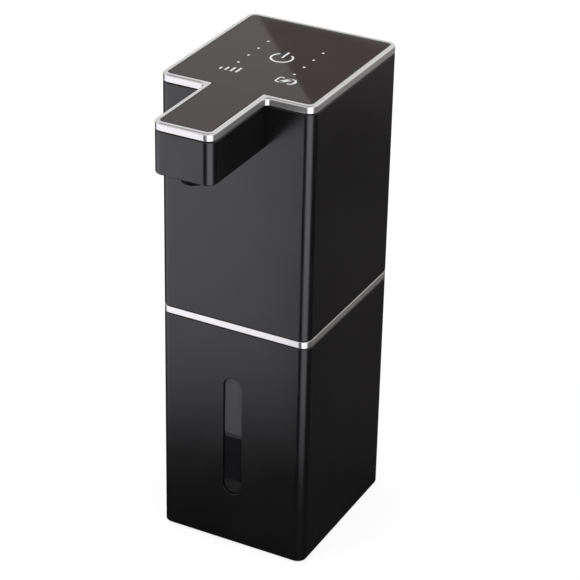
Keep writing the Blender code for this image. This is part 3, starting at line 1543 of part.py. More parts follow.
def make_battery(parent):
    """The cell and the open cradle that it stands in."""
    half = CELL_BOTTOM + CELL_LENGTH - CELL_CAP_HEIGHT
    cell = turned(
        [
            (CELL_RADIUS, CELL_BOTTOM),
            (CELL_RADIUS, half),
            (CELL_CAP_RADIUS, half),
            (CELL_CAP_RADIUS, CELL_BOTTOM + CELL_LENGTH),
        ]
    )
    piece("battery_cell", at(cell, (CELL_X, CELL_Y)), "cell_wrap", parent)
    clip = c_outline(CRADLE_RADIUS, CELL_RADIUS + SEAM, CRADLE_OPENING, -math.pi / 2)
    cradle = piece(
        "battery_holder",
        at(prism(clip, CRADLE_BOTTOM, CRADLE_BOTTOM + CRADLE_HEIGHT), (CELL_X, CELL_Y)),
        "grey_plastic",
        parent,
    )
    floor = prism(
        circle(CELL_RADIUS + SEAM + CRADLE_WALL / 2), CRADLE_BOTTOM + SEAM, CRADLE_BOTTOM + CRADLE_FLOOR
    )
    add(cradle, "floor", [at(floor, (CELL_X, CELL_Y))])


def make_main_board(parent):
    """The control board on its standoffs, with its larger parts towards the rear wall."""
    half = BOARD_WIDTH / 2
    board = piece(
        "main_board",
        block((-half, BOARD_FRONT, BOARD_BOTTOM), (half, BOARD_REAR, BOARD_BOTTOM + BOARD_HEIGHT)),
        "circuit_board",
        parent,
    )
    parts = []
    middle = BOARD_BOTTOM + BOARD_HEIGHT / 2
    for side, size, height in ((-1, CHIP_SIDE, CHIP_HEIGHT), (1, COIL_SIDE, COIL_HEIGHT)):
        x = side * PART_SPREAD
        parts.append(
            block(
                (x - size / 2, BOARD_REAR - BOARD_THICKNESS / 2, middle - size / 2),
                (x + size / 2, BOARD_REAR + height, middle + size / 2),
            )
        )
    add(board, "parts", parts)


def make_usb_socket(parent):
    """The charging socket: a thin shell with a blade in it, from the board to the rear wall."""
    outer = rectangle(PORT_WIDTH, PORT_THICKNESS, PORT_CORNER)
    inner = rectangle(
        PORT_WIDTH - 2 * PORT_WALL, PORT_THICKNESS - 2 * PORT_WALL, PORT_CORNER - PORT_WALL
    )
    back = -(BOARD_REAR + SEAM)
    floor = -(PORT_FRONT - PORT_DEPTH)
    shell = loft([(inner, floor), (inner, -PORT_FRONT), (outer, -PORT_FRONT), (outer, back)])
    level = (0.0, 0.0, PORT_LEVEL)
    socket = piece("usb_socket", moved(shell, level, TO_FRONT), "steel", parent)
    blade = without_doubles(rectangle(PORT_BLADE_WIDTH, PORT_BLADE_THICKNESS, 0.0))
    tongue = prism(blade, floor - PORT_BLADE_LENGTH, floor + PORT_WALL)
    add(socket, "blade", [moved(tongue, level, TO_FRONT)])


def make_usb_cover(parent):
    """The soft cover that hangs from its top edge, in its hinge's own frame."""
    drop = COVER_TALL / 2
    plate = rectangle(COVER_WIDTH, COVER_TALL, COVER_CORNER)
    flap = piece(
        "usb_cover",
        moved(prism(plate, 0.0, COVER_THICKNESS), (0.0, 0.0, -drop), TO_FRONT),
        "dark_rubber",
        parent,
        local=True,
    )
    tongue = rectangle(TONGUE_WIDTH, TONGUE_THICKNESS, TONGUE_THICKNESS / 3)
    stub = prism(tongue, COVER_THICKNESS - TONGUE_ROOT, COVER_THICKNESS + TONGUE_LENGTH)
    add(flap, "tongue", [moved(stub, (0.0, 0.0, -drop), TO_FRONT)])


# Hoses

def make_hoses(parent):
    """The suction hose from the deck to the pump, and the foam hose from the pump to the nozzle."""
    mouth = PUMP_Y - PUMP_SIDE / 2 - SEAM
    tip = mouth - BARB_LENGTH
    straight = tip - HOSE_STRAIGHT
    inlet_x = PUMP_X + PORT_SPREAD
    outlet_x = PUMP_X - PORT_SPREAD
    x, y = DIP_TUBE_PLACE
    rise = DECK_TOP + BARB_LENGTH + HOSE_STRAIGHT
    suction = [
        (x, y, DECK_TOP + SEAM),
        (x, y, DECK_TOP + BARB_LENGTH),
        (x, y, rise),
        (x - HOSE_BEND, y, rise + HOSE_BEND),
        ((x + inlet_x) / 2, y, rise + HOSE_BEND),
        (inlet_x, y, PORT_AXIS_HEIGHT + HOSE_BEND),
        (inlet_x, straight, PORT_AXIS_HEIGHT),
        (inlet_x, tip, PORT_AXIS_HEIGHT),
        (inlet_x, mouth, PORT_AXIS_HEIGHT),
    ]
    tube = swept(rounded_route(suction, HOSE_RINGS), HOSE_RADIUS, HOSE_BORE)
    piece("suction_hose", tube, "pale_rubber", parent)

    level = NOZZLE_INLET_LEVEL
    end = NOZZLE_Y + NOZZLE_BODY_RADIUS + SEAM
    wall = -HALF_DEPTH + UPPER_WALL
    rear = wall + 2 * HOSE_BEND
    foam = [
        (outlet_x, mouth, PORT_AXIS_HEIGHT),
        (outlet_x, tip, PORT_AXIS_HEIGHT),
        (outlet_x, straight, PORT_AXIS_HEIGHT),
        (outlet_x, rear - HOSE_BEND, PORT_AXIS_HEIGHT + HOSE_BEND),
        (outlet_x, rear - HOSE_BEND, PORT_AXIS_HEIGHT + 3 * HOSE_BEND),
        (outlet_x / 2, rear - HOSE_BEND, level - 4 * HOSE_BEND),
        (0.0, rear - HOSE_BEND, level - HOSE_BEND),
        (0.0, wall - HOSE_STRAIGHT, level),
        (0.0, end + NOZZLE_BARB_LENGTH, level),
        (0.0, end, level),
    ]
    tube = swept(rounded_route(foam, 2 * HOSE_RINGS), HOSE_RADIUS, HOSE_BORE)
    piece("foam_hose", tube, "pale_rubber", parent)


def main():
    """Makes every piece on the carrier that it moves with."""
    clear_scene()
    reservoir = carrier("reservoir", (0.0, 0.0, 0.0))
    pump_unit = carrier("pump_unit", (0.0, 0.0, RESERVOIR_HEIGHT))
    rotor = carrier("rotor", (PUMP_X, PUMP_Y, PIVOT_HEIGHT))
    wobble = carrier("wobble", (PUMP_X, PUMP_Y, PIVOT_HEIGHT), tilt=PIN_TILT)
    flap = carrier("cover_hinge", (0.0, HALF_DEPTH, HINGE_LEVEL))

    make_lower_shell(reservoir)
    make_soap_tank(reservoir)
    make_base_plate(reservoir)
    make_base_screws(reservoir)
    make_foot_pad(reservoir)

    make_mid_band(pump_unit)
    make_pump_deck(pump_unit)
    make_deck_screws(pump_unit)
    make_tank_gasket(pump_unit)
    make_dip_tube(pump_unit)
    make_upper_housing(pump_unit)
    make_spout_cover(pump_unit)
    make_sensor(pump_unit)
    make_nozzle(pump_unit)
    make_top_bezel(pump_unit)
    make_touch_panel(pump_unit)
    make_light_guide(pump_unit)
    make_touch_board(pump_unit)
    make_touch_spring(pump_unit)
    make_pump(pump_unit)
    make_pump_screws(pump_unit)
    make_motor(pump_unit)
    make_battery(pump_unit)
    make_main_board(pump_unit)
    make_usb_socket(pump_unit)
    make_hoses(pump_unit)

    make_rotor(rotor)
    make_wobble_plate(wobble)
    make_usb_cover(flap)


main()
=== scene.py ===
"""Looks of the automatic foam soap dispenser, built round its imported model.

Metres, +Z up, the spout points to -Y. Every new surface is a function of two parameters worked out as
whole numpy arrays: a section of (inset, height) points carried round a plan, or turned about an axis.
"""

import json
import logging
import math
from dataclasses import dataclass, field
from enum import Enum
from typing import Callable, Optional, Sequence

import bpy
import numpy as np
from mathutils import Matrix, Vector


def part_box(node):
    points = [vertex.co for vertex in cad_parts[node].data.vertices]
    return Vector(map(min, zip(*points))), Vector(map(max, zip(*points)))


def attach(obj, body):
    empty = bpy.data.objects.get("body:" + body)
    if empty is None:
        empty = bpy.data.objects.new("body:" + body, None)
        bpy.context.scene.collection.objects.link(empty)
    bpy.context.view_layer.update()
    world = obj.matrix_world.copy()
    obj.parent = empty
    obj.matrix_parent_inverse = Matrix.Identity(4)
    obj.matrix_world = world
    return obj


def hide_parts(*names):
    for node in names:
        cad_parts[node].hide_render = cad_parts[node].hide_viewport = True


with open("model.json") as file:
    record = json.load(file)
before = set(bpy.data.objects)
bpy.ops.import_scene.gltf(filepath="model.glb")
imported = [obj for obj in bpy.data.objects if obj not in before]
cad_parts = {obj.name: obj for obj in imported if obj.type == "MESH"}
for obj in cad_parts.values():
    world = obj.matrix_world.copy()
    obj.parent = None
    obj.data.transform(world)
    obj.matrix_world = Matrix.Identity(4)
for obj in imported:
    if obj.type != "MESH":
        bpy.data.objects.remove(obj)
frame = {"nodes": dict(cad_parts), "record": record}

logging.basicConfig(level=logging.INFO, format="%(name)s: %(message)s")
LOG = logging.getLogger("dispenser")

Array = np.ndarray
Pair = tuple[float, float]
Point = tuple[float, float, float]

# Points nearer to each other than this are one, and edges that turn by more than this stay sharp
TINY = 1e-7
CRISP = math.radians(35.0)
# The grain's second noise: how many times finer it is, and its height beside the first
FINER = 2.7
FINER_HEIGHT = 0.5
# The part of the slow noise's range that the cloudiness of handling spreads over
CLOUD_RANGE = (0.35, 0.65)


class Operation(Enum):
    """What a Boolean does with its tool."""

    ADD = "UNION"
    CUT = "DIFFERENCE"


class Ends(Enum):
    """How a stack of rings is closed."""

    CAPPED = "capped"
    LOOPED = "looped"


class Body(Enum):
    """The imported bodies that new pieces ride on."""

    RESERVOIR = "reservoir"
    PUMP_UNIT = "pump_unit"
    COVER = "cover_flap"


# Shapes

@dataclass
class Shape:
    """Points of a closed surface and the faces between them."""

    points: Array
    faces: list[tuple[int, ...]]

    def moved(self, offset: Sequence[float], turn: Optional[Array] = None) -> "Shape":
        """The shape turned by a 3 x 3 matrix and then shifted: P' = R P + offset."""
        points = self.points if turn is None else self.points @ turn.T
        return Shape(points + np.array(offset), self.faces)

    def volume(self) -> float:
        """Six-fold signed volume: the sum of a . (b x c) over a fan of triangles for each face.

        Returns:
            The sum, positive where the faces point outwards.
        """
        total = 0.0
        by_length: dict[int, list[tuple[int, ...]]] = {}
        for face in self.faces:
            by_length.setdefault(len(face), []).append(face)
        for length, faces in by_length.items():
            corners = self.points[np.array(faces)]
            for last in range(2, length):
                normal = np.cross(corners[:, last - 1], corners[:, last])
                total += float(np.sum(corners[:, 0] * normal))
        return total

    def facing_out(self) -> "Shape":
        """The shape with its faces turned over where its signed volume is negative.

        Returns:
            The shape, facing out.
        """
        if self.volume() >= 0.0:
            return self
        return Shape(self.points, [tuple(reversed(face)) for face in self.faces])


def joined(shapes: Sequence[Shape]) -> Shape:
    """Several separate shapes as one.

    Args:
        shapes: closed shapes that don't touch.

    Returns:
        One shape with all their points and faces.
    """
    points, faces, start = [], [], 0
    for shape in shapes:
        points.append(shape.points)
        faces += [tuple(index + start for index in face) for face in shape.faces]
        start += len(shape.points)
    return Shape(np.concatenate(points), faces)


def skin(points: Array, ends: Ends) -> Shape:
    """Joins a grid of points into a closed surface.

    Args:
        points: (rings, points, 3) places, each ring closed on itself.
        ends: caps on the first and last ring, or the last ring joined to the first.

    Returns:
        The closed shape, facing out.
    """
    rings, count = points.shape[:2]
    step = np.arange(rings if ends is Ends.LOOPED else rings - 1)[:, None]
    place = np.arange(count)[None]
    here, beyond = step * count, (step + 1) % rings * count
    after = (place + 1) % count
    quads = np.stack([here + place, here + after, beyond + after, beyond + place], -1)
    faces = [tuple(face) for face in quads.reshape(-1, 4).tolist()]
    if ends is Ends.CAPPED:
        last = (rings - 1) * count
        faces.append(tuple(reversed(range(count))))
        faces.append(tuple(range(last, last + count)))
    return Shape(points.reshape(-1, 3), faces).facing_out()


@dataclass(frozen=True)
class Plan:
    """A right-angled plan, walked counter-clockwise, with quarter circles at its corners.

    A ring at inset i moves each corner by -i times the sum of its sides' outward normals. Its outer
    corners lose i from their radius, and its inner corners gain i times the growth.
    """

    corners: tuple[Pair, ...]
    radii: tuple[float, ...]
    neck: float = 0.0004
    steps: int = 9
    growth: float = 1.0

    def rings(self, insets: Sequence[float]) -> Array:
        """Rings at several insets.

        Args:
            insets: how far each ring is drawn in.

        Returns:
            (insets, points, 2) places in plan.
        """
        corner = np.array(self.corners)
        after = np.roll(corner, -1, 0) - corner
        after = after / np.linalg.norm(after, axis=1, keepdims=True)
        before = np.roll(after, 1, 0)
        out = np.stack([before[:, 1] + after[:, 1], -before[:, 0] - after[:, 0]], 1)
        left = before[:, 0] * after[:, 1] - before[:, 1] * after[:, 0] > 0
        inset = np.asarray(insets, float)[:, None]
        outer = np.maximum(np.array(self.radii) - inset, self.neck)
        inner = np.maximum(np.array(self.radii) + self.growth * inset, self.neck)
        radius = np.where(left[None], outer, inner)[:, :, None]
        centre = corner[None] - inset[:, :, None] * out[None] + radius * (after - before)[None]
        turn = np.linspace(0.0, math.pi / 2, self.steps + 1)[None, None, :, None]
        spoke = before[None, :, None] * np.sin(turn) - after[None, :, None] * np.cos(turn)
        points = centre[:, :, None] + radius[:, :, None] * spoke
        return points.reshape(len(points), -1, 2)


def rectangle(low: Sequence[float], high: Sequence[float], radius: float, steps: int = 9,
              neck: float = 0.0004) -> Plan:
    """A rectangular plan between two corners."""
    corners = ((low[0], low[1]), (high[0], low[1]), (high[0], high[1]), (low[0], high[1]))
    return Plan(corners, (radius,) * 4, neck, steps)


def centred(half_width: float, half_depth: float, radius: float, steps: int = 9,
            neck: float = 0.0004) -> Plan:
    """A rectangular plan about the origin."""
    return rectangle((-half_width, -half_depth), (half_width, half_depth), radius, steps, neck)


def eased(points: Sequence[Point], steps: int = 4, looped: bool = True) -> Array:
    """Rounds the corners of a line of (across, up, setback) points.

    Each corner C gives way to the conic from C - s * before to C + s * after, weighted by the cosine
    of half the turn there, which is an arc of a circle. Points that repeat are left out.

    Args:
        points: the corners, each with the length that its rounding takes from both sides.
        steps: parts in each arc.
        looped: whether the line is closed. The ends of an open line stay sharp.

    Returns:
        (n, 2) points.
    """
    table = np.array(points, float)
    corner, setback = table[:, :2], table[:, 2].copy()
    after = np.roll(corner, -1, 0) - corner
    after = after / np.maximum(np.linalg.norm(after, axis=1, keepdims=True), TINY)
    before = np.roll(after, 1, 0)
    if not looped:
        setback[[0, -1]] = 0.0
    start = (corner - setback[:, None] * before)[:, None]
    end = (corner + setback[:, None] * after)[:, None]
    weight = np.sqrt(np.maximum((1 + np.sum(before * after, 1)) / 2, 0.0))[:, None, None]
    t = np.linspace(0.0, 1.0, steps + 1)[None, :, None]
    a, b, c = (1 - t) ** 2, 2 * weight * t * (1 - t), t ** 2
    line = ((a * start + b * corner[:, None] + c * end) / (a + b + c)).reshape(-1, 2)
    kept = np.linalg.norm(line - np.roll(line, 1, 0), axis=1) > TINY
    return line[kept]


def raised(flat: Array, heights: Sequence[float], ends: Ends) -> Shape:
    """Lifts flat rings to their heights: P(u, v) = (ring v at place u, height of v).

    Args:
        flat: (rings, points, 2) places.
        heights: one for each ring.
        ends: how the stack is closed.

    Returns:
        The closed shape.
    """
    levels = np.broadcast_to(np.asarray(heights, float)[:, None, None], flat.shape[:2] + (1,))
    return skin(np.concatenate([flat, levels], 2), ends)


def carried(plan: Plan, section: Array, ends: Ends = Ends.LOOPED) -> Shape:
    """Carries a section round a plan: P(u, v) = ring at inset(v), at place u, raised to height(v)."""
    return raised(plan.rings(section[:, 0]), section[:, 1], ends)


def filled(plan: Plan, points: Sequence[Point]) -> Shape:
    """A solid whose open section runs through corners with setbacks, and whose ends are flat."""
    return carried(plan, eased(points, looped=False), Ends.CAPPED)


def slab(plan: Plan, low: float, high: float, under: float, over: float, margin: float) -> Shape:
    """A solid plate between two heights.

    Args:
        plan: its outline.
        low: its lower height.
        high: its upper height.
        under: the easing of its lower edge.
        over: the easing of its upper edge.
        margin: the inset of the rings that its flat caps start from.

    Returns:
        The closed shape.
    """
    return filled(plan, [(margin, low, 0.0), (0.0, low, under), (0.0, high, over), (margin, high, 0.0)])


def turned(section: Array, ends: Ends = Ends.LOOPED, steps: int = 48) -> Shape:
    """Turns a section about the upright axis: P(u, v) = (r(v) cos u, r(v) sin u, h(v)).

    Args:
        section: (n, 2) points, each a radius and a height.
        ends: how the section is closed.
        steps: the number of sides round the axis.

    Returns:
        The closed shape.
    """
    turn = 2 * math.pi * np.arange(steps) / steps
    ring = np.stack([np.cos(turn), np.sin(turn)], 1)
    return raised(section[:, 0][:, None, None] * ring[None], section[:, 1], ends)


def prism(outline: Array, bottom: float, top: float) -> Shape:
    """Carries an outline straight up: P(u, v) = outline at u, at height bottom or top."""
    return raised(np.broadcast_to(outline[None], (2,) + outline.shape), (bottom, top), Ends.CAPPED)


def box(low: Sequence[float], high: Sequence[float]) -> Shape:
    """A plain cutter between two corners."""
    outline = np.array([(low[0], low[1]), (high[0], low[1]), (high[0], high[1]), (low[0], high[1])])
    return prism(outline, low[2], high[2])


def capsules(radii: Array, reach: float, steps: int = 14) -> Array:
    """Slots round one centre line: P(u) = the nearer end of (0, +-reach) plus r (cos u, sin u).

    Args:
        radii: one for each slot.
        reach: half the centre line's length.
        steps: parts in each half circle.

    Returns:
        (radii, points, 2) places.
    """
    upper = np.linspace(0.0, math.pi, steps + 1)
    turn = np.concatenate([upper, upper + math.pi])
    ends = np.concatenate([np.full(steps + 1, reach), np.full(steps + 1, -reach)])
    across = radii[:, None] * np.cos(turn)
    along = ends[None] + radii[:, None] * np.sin(turn)
    return np.stack([across, along], 2)


# Turns an (x, z) drawing whose height grows towards -Y, and one whose height grows towards +Y
TO_FRONT = np.array([(1.0, 0.0, 0.0), (0.0, 0.0, -1.0), (0.0, 1.0, 0.0)])
TO_BACK = np.array([(-1.0, 0.0, 0.0), (0.0, 0.0, 1.0), (0.0, 1.0, 0.0)])


def mesh_of(shape: Shape) -> bpy.types.Mesh:
    """A mesh with the shape's points and faces.

    Args:
        shape: the shape.

    Returns:
        The new mesh.
    """
    mesh = bpy.data.meshes.new("piece")
    mesh.from_pydata(shape.points.tolist(), [], shape.faces)
    mesh.update()
    return mesh


def linked(name: str, data: bpy.types.ID) -> bpy.types.Object:
    """A new object in the scene.

    Args:
        name: its name.
        data: its mesh, lamp or camera.

    Returns:
        The object.
    """
    made = bpy.data.objects.new(name, data)
    bpy.context.scene.collection.objects.link(made)
    return made


def carved(base: Shape, work: Sequence[tuple[Operation, Shape]]) -> bpy.types.Mesh:
    """Adds and cuts shapes with exact Booleans, and keeps the resulting mesh only.

    Args:
        base: the shape to work on.
        work: operations in order, each with its tool.

    Returns:
        The finished mesh.
    """
    body = linked("body", mesh_of(base))
    used = [body]
    for operation, shape in work:
        boolean = body.modifiers.new("boolean", "BOOLEAN")
        boolean.operation = operation.value
        boolean.solver = "EXACT"
        boolean.object = linked("tool", mesh_of(shape))
        used.append(boolean.object)
    ready = body.evaluated_get(bpy.context.evaluated_depsgraph_get())
    mesh = bpy.data.meshes.new_from_object(ready)
    for old in used:
        data = old.data
        bpy.data.objects.remove(old)
        bpy.data.meshes.remove(data)
    return mesh


# Shader nodes

class Tree:
    """A node tree with short ways to add and join nodes."""

    def __init__(self, tree: bpy.types.NodeTree) -> None:
        """Takes the tree to work in."""
        self.tree = tree

    def add(self, kind: str, inputs: Optional[dict] = None, **settings: object) -> bpy.types.Node:
        """Adds a node.

        Args:
            kind: the node's type without the word ShaderNode.
            inputs: values, or sockets to join from, by input name or number.
            settings: properties of the node.

        Returns:
            The new node.
        """
        node = self.tree.nodes.new("ShaderNode" + kind)
        for key, value in settings.items():
            setattr(node, key, value)
        for key, value in (inputs or {}).items():
            if isinstance(value, bpy.types.NodeSocket):
                self.tree.links.new(value, node.inputs[key])
            else:
                node.inputs[key].default_value = value
        return node

    def math(self, operation: str, *values: object) -> bpy.types.NodeSocket:
        """The result of a Math node on numbers or sockets."""
        return self.add("Math", dict(enumerate(values)), operation=operation).outputs[0]

    def spread(self, value: bpy.types.NodeSocket, source: Pair, target: Pair) -> bpy.types.NodeSocket:
        """A value carried smoothly from one range to another."""
        inputs = {"Value": value, "From Min": source[0], "From Max": source[1],
                  "To Min": target[0], "To Max": target[1]}
        return self.add("MapRange", inputs, interpolation_type="SMOOTHSTEP").outputs[0]

    def blend(self, share: bpy.types.NodeSocket, first: object, second: object) -> bpy.types.NodeSocket:
        """A colour between two colours."""
        return self.add("Mix", {0: share, 6: first, 7: second}, data_type="RGBA").outputs[2]

    def mix(self, share: bpy.types.NodeSocket, first: bpy.types.Node,
            second: bpy.types.Node) -> bpy.types.Node:
        """A shader between two shaders."""
        return self.add("MixShader", {0: share, 1: first.outputs[0], 2: second.outputs[0]})

    def ramp(self, share: object, stops: Sequence[Pair]) -> bpy.types.NodeSocket:
        """A grey value that runs through stops.

        Args:
            share: the place on the ramp.
            stops: (place, value) pairs in order.

        Returns:
            The value's socket.
        """
        node = self.add("ValToRGB", {0: share})
        elements = node.color_ramp.elements
        while len(elements) < len(stops):
            elements.new(1.0)
        for element, (place, value) in zip(elements, stops):
            element.position = place
            element.color = (value, value, value, 1.0)
        return node.outputs[0]


def group(name: str, inputs: dict[str, float], output: str) -> tuple[Tree, object, object]:
    """Starts a shader node group that takes a place and puts out one number.

    Args:
        name: the group's name.
        inputs: defaults of the inputs after the place, by name.
        output: the output's name.

    Returns:
        The tree, its input sockets and its output socket.
    """
    made = bpy.data.node_groups.new(name, "ShaderNodeTree")
    made.interface.new_socket(name="Vector", in_out="INPUT", socket_type="NodeSocketVector")
    for key, default in inputs.items():
        socket = made.interface.new_socket(name=key, in_out="INPUT", socket_type="NodeSocketFloat")
        socket.default_value = default
    made.interface.new_socket(name=output, in_out="OUTPUT", socket_type="NodeSocketFloat")
    source = made.nodes.new("NodeGroupInput")
    return Tree(made), source.outputs, made.nodes.new("NodeGroupOutput").inputs[0]


def make_grain_group() -> bpy.types.NodeTree:
    """The fine grain of a moulded or plated skin: two sizes of noise added, as a height in metres.

    Returns:
        The node group.
    """
    tree, source, height = group("moulded_grain", {"Scale": 2500.0, "Depth": 0.00001}, "Height")
    coarse = tree.add("TexNoise", {"Vector": source[0], "Scale": source[1], "Detail": 3.0})
    finer = tree.math("MULTIPLY", source[1], FINER)
    fine = tree.add("TexNoise", {"Vector": source[0], "Scale": finer, "Detail": 2.0})
    both = tree.math("ADD", coarse.outputs[0], tree.math("MULTIPLY", fine.outputs[0], FINER_HEIGHT))
    tree.tree.links.new(tree.math("MULTIPLY", both, source[2]), height)
    return tree.tree


def make_handling_group() -> bpy.types.NodeTree:
    """The faint cloudiness that wiping leaves: a slow noise spread from 0 to 1.

    Returns:
        The node group.
    """
    tree, source, cloud = group("handling", {"Scale": 40.0}, "Cloud")
    noise = tree.add("TexNoise", {"Vector": source[0], "Scale": source[1], "Detail": 4.0})
    tree.tree.links.new(tree.spread(noise.outputs[0], CLOUD_RANGE, (0.0, 1.0)), cloud)
    return tree.tree


GRAIN = make_grain_group()
HANDLING = make_handling_group()


def bare_material(title: str) -> tuple[bpy.types.Material, Tree]:
    """A new material and its tree, without nodes.

    Args:
        title: its name.

    Returns:
        The material and its tree.
    """
    made = bpy.data.materials.new(title)
    made.use_nodes = True
    made.node_tree.nodes.clear()
    return made, Tree(made.node_tree)


# Finishes

@dataclass(frozen=True)
class Finish:
    """A moulded, plated or printed finish: colour, gloss and the grain of its skin."""

    name: str
    slot: str
    colour: Point
    roughness: float
    metallic: float = 0.0
    ior: float = 1.5
    grain_scale: float = 2500.0
    grain_depth: float = 0.000004
    cloud: float = 0.03
    tint: float = 0.06
    coat: float = 0.0
    coat_roughness: float = 0.06
    alpha: float = 1.0
    subsurface: float = 0.0
    # Emission in the finish's own colour: painted light, used only for the icons' glow
    glow: float = 0.0

    def pattern(self, tree: Tree, place: bpy.types.NodeSocket, cloud: bpy.types.NodeSocket) -> object:
        """The base colour: a little darker or lighter with the cloudiness.

        Args:
            tree: the material's tree.
            place: the place on the piece; not used here.
            cloud: the cloudiness, from 0 to 1.

        Returns:
            The colour's socket.
        """
        darker = tuple(c * (1 - self.tint) for c in self.colour) + (1.0,)
        lighter = tuple(min(c * (1 + self.tint), 1.0) for c in self.colour) + (1.0,)
        return tree.blend(cloud, darker, lighter)

    def opacity(self, tree: Tree, place: bpy.types.NodeSocket) -> object:
        """A plain number here, and a socket in a finish whose opacity changes over the surface."""
        return self.alpha

    def material(self) -> bpy.types.Material:
        """The finish's material, made once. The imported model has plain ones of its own.

        Returns:
            The material.
        """
        title = self.name + "_finish"
        if title in bpy.data.materials:
            return bpy.data.materials[title]
        made, tree = bare_material(title)
        place = tree.add("TexCoord").outputs["Object"]
        grain = tree.add("Group", {"Vector": place, "Scale": self.grain_scale, "Depth": self.grain_depth},
                         node_tree=GRAIN)
        bump = tree.add("Bump", {"Height": grain.outputs[0], "Strength": 1.0, "Distance": 1.0})
        cloud = tree.add("Group", {"Vector": place}, node_tree=HANDLING).outputs[0]
        gloss = (max(self.roughness - self.cloud, 0.0), self.roughness + self.cloud)
        shader = tree.add("BsdfPrincipled", {
            "Base Color": self.pattern(tree, place, cloud), "Metallic": self.metallic, "IOR": self.ior,
            "Roughness": tree.spread(cloud, (0.0, 1.0), gloss), "Normal": bump.outputs[0],
            "Alpha": self.opacity(tree, place), "Subsurface Weight": self.subsurface,
            "Coat Weight": self.coat, "Coat Roughness": self.coat_roughness,
            "Emission Color": self.colour + (1.0,), "Emission Strength": self.glow,
        })
        tree.add("OutputMaterial", {0: shader.outputs[0]})
        return made


@dataclass(frozen=True)
class TankFinish(Finish):
    """The tank's clear wall: misted with dried soap above the liquid's level, wet and clear below it."""

    level: float = 0.0530
    dry_alpha: float = 0.80
    wet_alpha: float = 0.60
    wet: Point = (0.016, 0.016, 0.018)
    film: Point = (0.056, 0.055, 0.062)
    film_depth: float = 0.0018
    # Painted reflection of the bright floor: the paler colour at the wall's foot, and how high it reaches
    foot: Point = (0.038, 0.038, 0.039)
    foot_reflection_level: float = 0.0305
    line_scale: float = 160.0
    line_wander: float = 0.0006
    line_width: float = 0.0009

    def dryness(self, tree: Tree, place: bpy.types.NodeSocket, level: float) -> bpy.types.NodeSocket:
        """1 above a level and 0 below it, with a slightly uneven line.

        Args:
            tree: the material's tree.
            place: the place on the piece.
            level: the line's height.

        Returns:
            The value's socket.
        """
        height = tree.add("SeparateXYZ", {0: place}).outputs[2]
        noise = tree.add("TexNoise", {"Vector": place, "Scale": self.line_scale}).outputs[0]
        uneven = tree.math("MULTIPLY_ADD", noise, self.line_wander, height)
        return tree.spread(uneven, (level, level + self.line_width), (0.0, 1.0))

    def pattern(self, tree: Tree, place: bpy.types.NodeSocket, cloud: bpy.types.NodeSocket) -> object:
        """Misty grey above the level, a film of liquid on the wall under it, then the liquid's darkness.

        The wall is paler again at its foot, a painted reflection of the bright floor below it.

        Args:
            tree: the material's tree.
            place: the place on the piece.
            cloud: the cloudiness, from 0 to 1; not used here.

        Returns:
            The colour's socket.
        """
        film_foot = self.dryness(tree, place, self.level - self.film_depth)
        # Below this level the wall's foot takes a painted reflection of the bright floor
        above_foot_reflection = self.dryness(tree, place, self.foot_reflection_level)
        deep = tree.blend(above_foot_reflection, self.foot + (1.0,), self.wet + (1.0,))
        lower = tree.blend(film_foot, deep, self.film + (1.0,))
        return tree.blend(self.dryness(tree, place, self.level), lower, self.colour + (1.0,))

    def opacity(self, tree: Tree, place: bpy.types.NodeSocket) -> object:
        """The mist hides more of what is behind than the wet wall."""
        dry = self.dryness(tree, place, self.level - self.film_depth)
        return tree.spread(dry, (0.0, 1.0), (self.wet_alpha, self.dry_alpha))


@dataclass(frozen=True)
class BoardFinish(Finish):
    """Solder mask with copper tracks under it and round pads."""

    track_scale: float = 260.0
    track_width: float = 0.03
    track_gain: float = 1.9
    pad_scale: float = 300.0
    pad_edge: Pair = (0.12, 0.2)
    pad_colour: Point = (0.62, 0.60, 0.52)

    def pattern(self, tree: Tree, place: bpy.types.NodeSocket, cloud: bpy.types.NodeSocket) -> object:
        """Brick lines as tracks and the middles of Voronoi cells as pads, over the mask's green.

        Args:
            tree: the material's tree.
            place: the place on the piece.
            cloud: the cloudiness, from 0 to 1; not used here.

        Returns:
            The colour's socket.
        """
        upright = tree.add("Mapping", {"Vector": place, "Rotation": (math.pi / 2, 0.0, 0.0)})
        black, white = (0, 0, 0, 1), (1, 1, 1, 1)
        tracks = tree.add("TexBrick", {
            "Vector": upright.outputs[0], "Scale": self.track_scale, "Mortar Size": self.track_width,
            "Color1": black, "Color2": black, "Mortar": white,
        })
        cells = tree.add("TexVoronoi", {"Vector": place, "Scale": self.pad_scale})
        pads = tree.spread(cells.outputs[0], self.pad_edge, (1.0, 0.0))
        lighter = tuple(min(c * self.track_gain, 1.0) for c in self.colour) + (1.0,)
        tracked = tree.blend(tracks.outputs[0], self.colour + (1.0,), lighter)
        return tree.blend(pads, tracked, self.pad_colour + (1.0,))


CASING_BLACK = Finish("casing_black", "black_plastic", (0.0090, 0.0090, 0.0096), 0.22,
                      grain_scale=3200.0, grain_depth=0.0000025, cloud=0.02, tint=0.10)
PANEL_BLACK = Finish("panel_black", "black_glass", (0.045, 0.030, 0.028), 0.03, ior=1.22,
                     grain_scale=600.0, grain_depth=0.0000002, cloud=0.008, tint=0.05)
SILVER_TRIM = Finish("silver_trim", "silver_trim", (0.66, 0.65, 0.65), 0.18, metallic=0.70,
                     grain_scale=5000.0, grain_depth=0.0000015, cloud=0.03, tint=0.02)
BAND_SILVER = Finish("band_silver", "silver_trim", (0.80, 0.79, 0.78), 0.16, metallic=0.80,
                     grain_scale=5000.0, grain_depth=0.0000015, cloud=0.03, tint=0.02)
TANK_CLEAR = TankFinish("tank_clear", "clear_plastic", (0.114, 0.110, 0.126), 0.12, ior=1.25,
                        grain_depth=0.000001, cloud=0.02)
NOZZLE_BLACK = Finish("nozzle_black", "dark_rubber", (0.003, 0.003, 0.003), 0.45, ior=1.16,
                      grain_depth=0.000003, tint=0.1)
SOAP = Finish("liquid_soap", "black_glass", (0.012, 0.012, 0.013), 0.04, ior=1.35,
              grain_scale=90.0, grain_depth=0.000002, cloud=0.01)
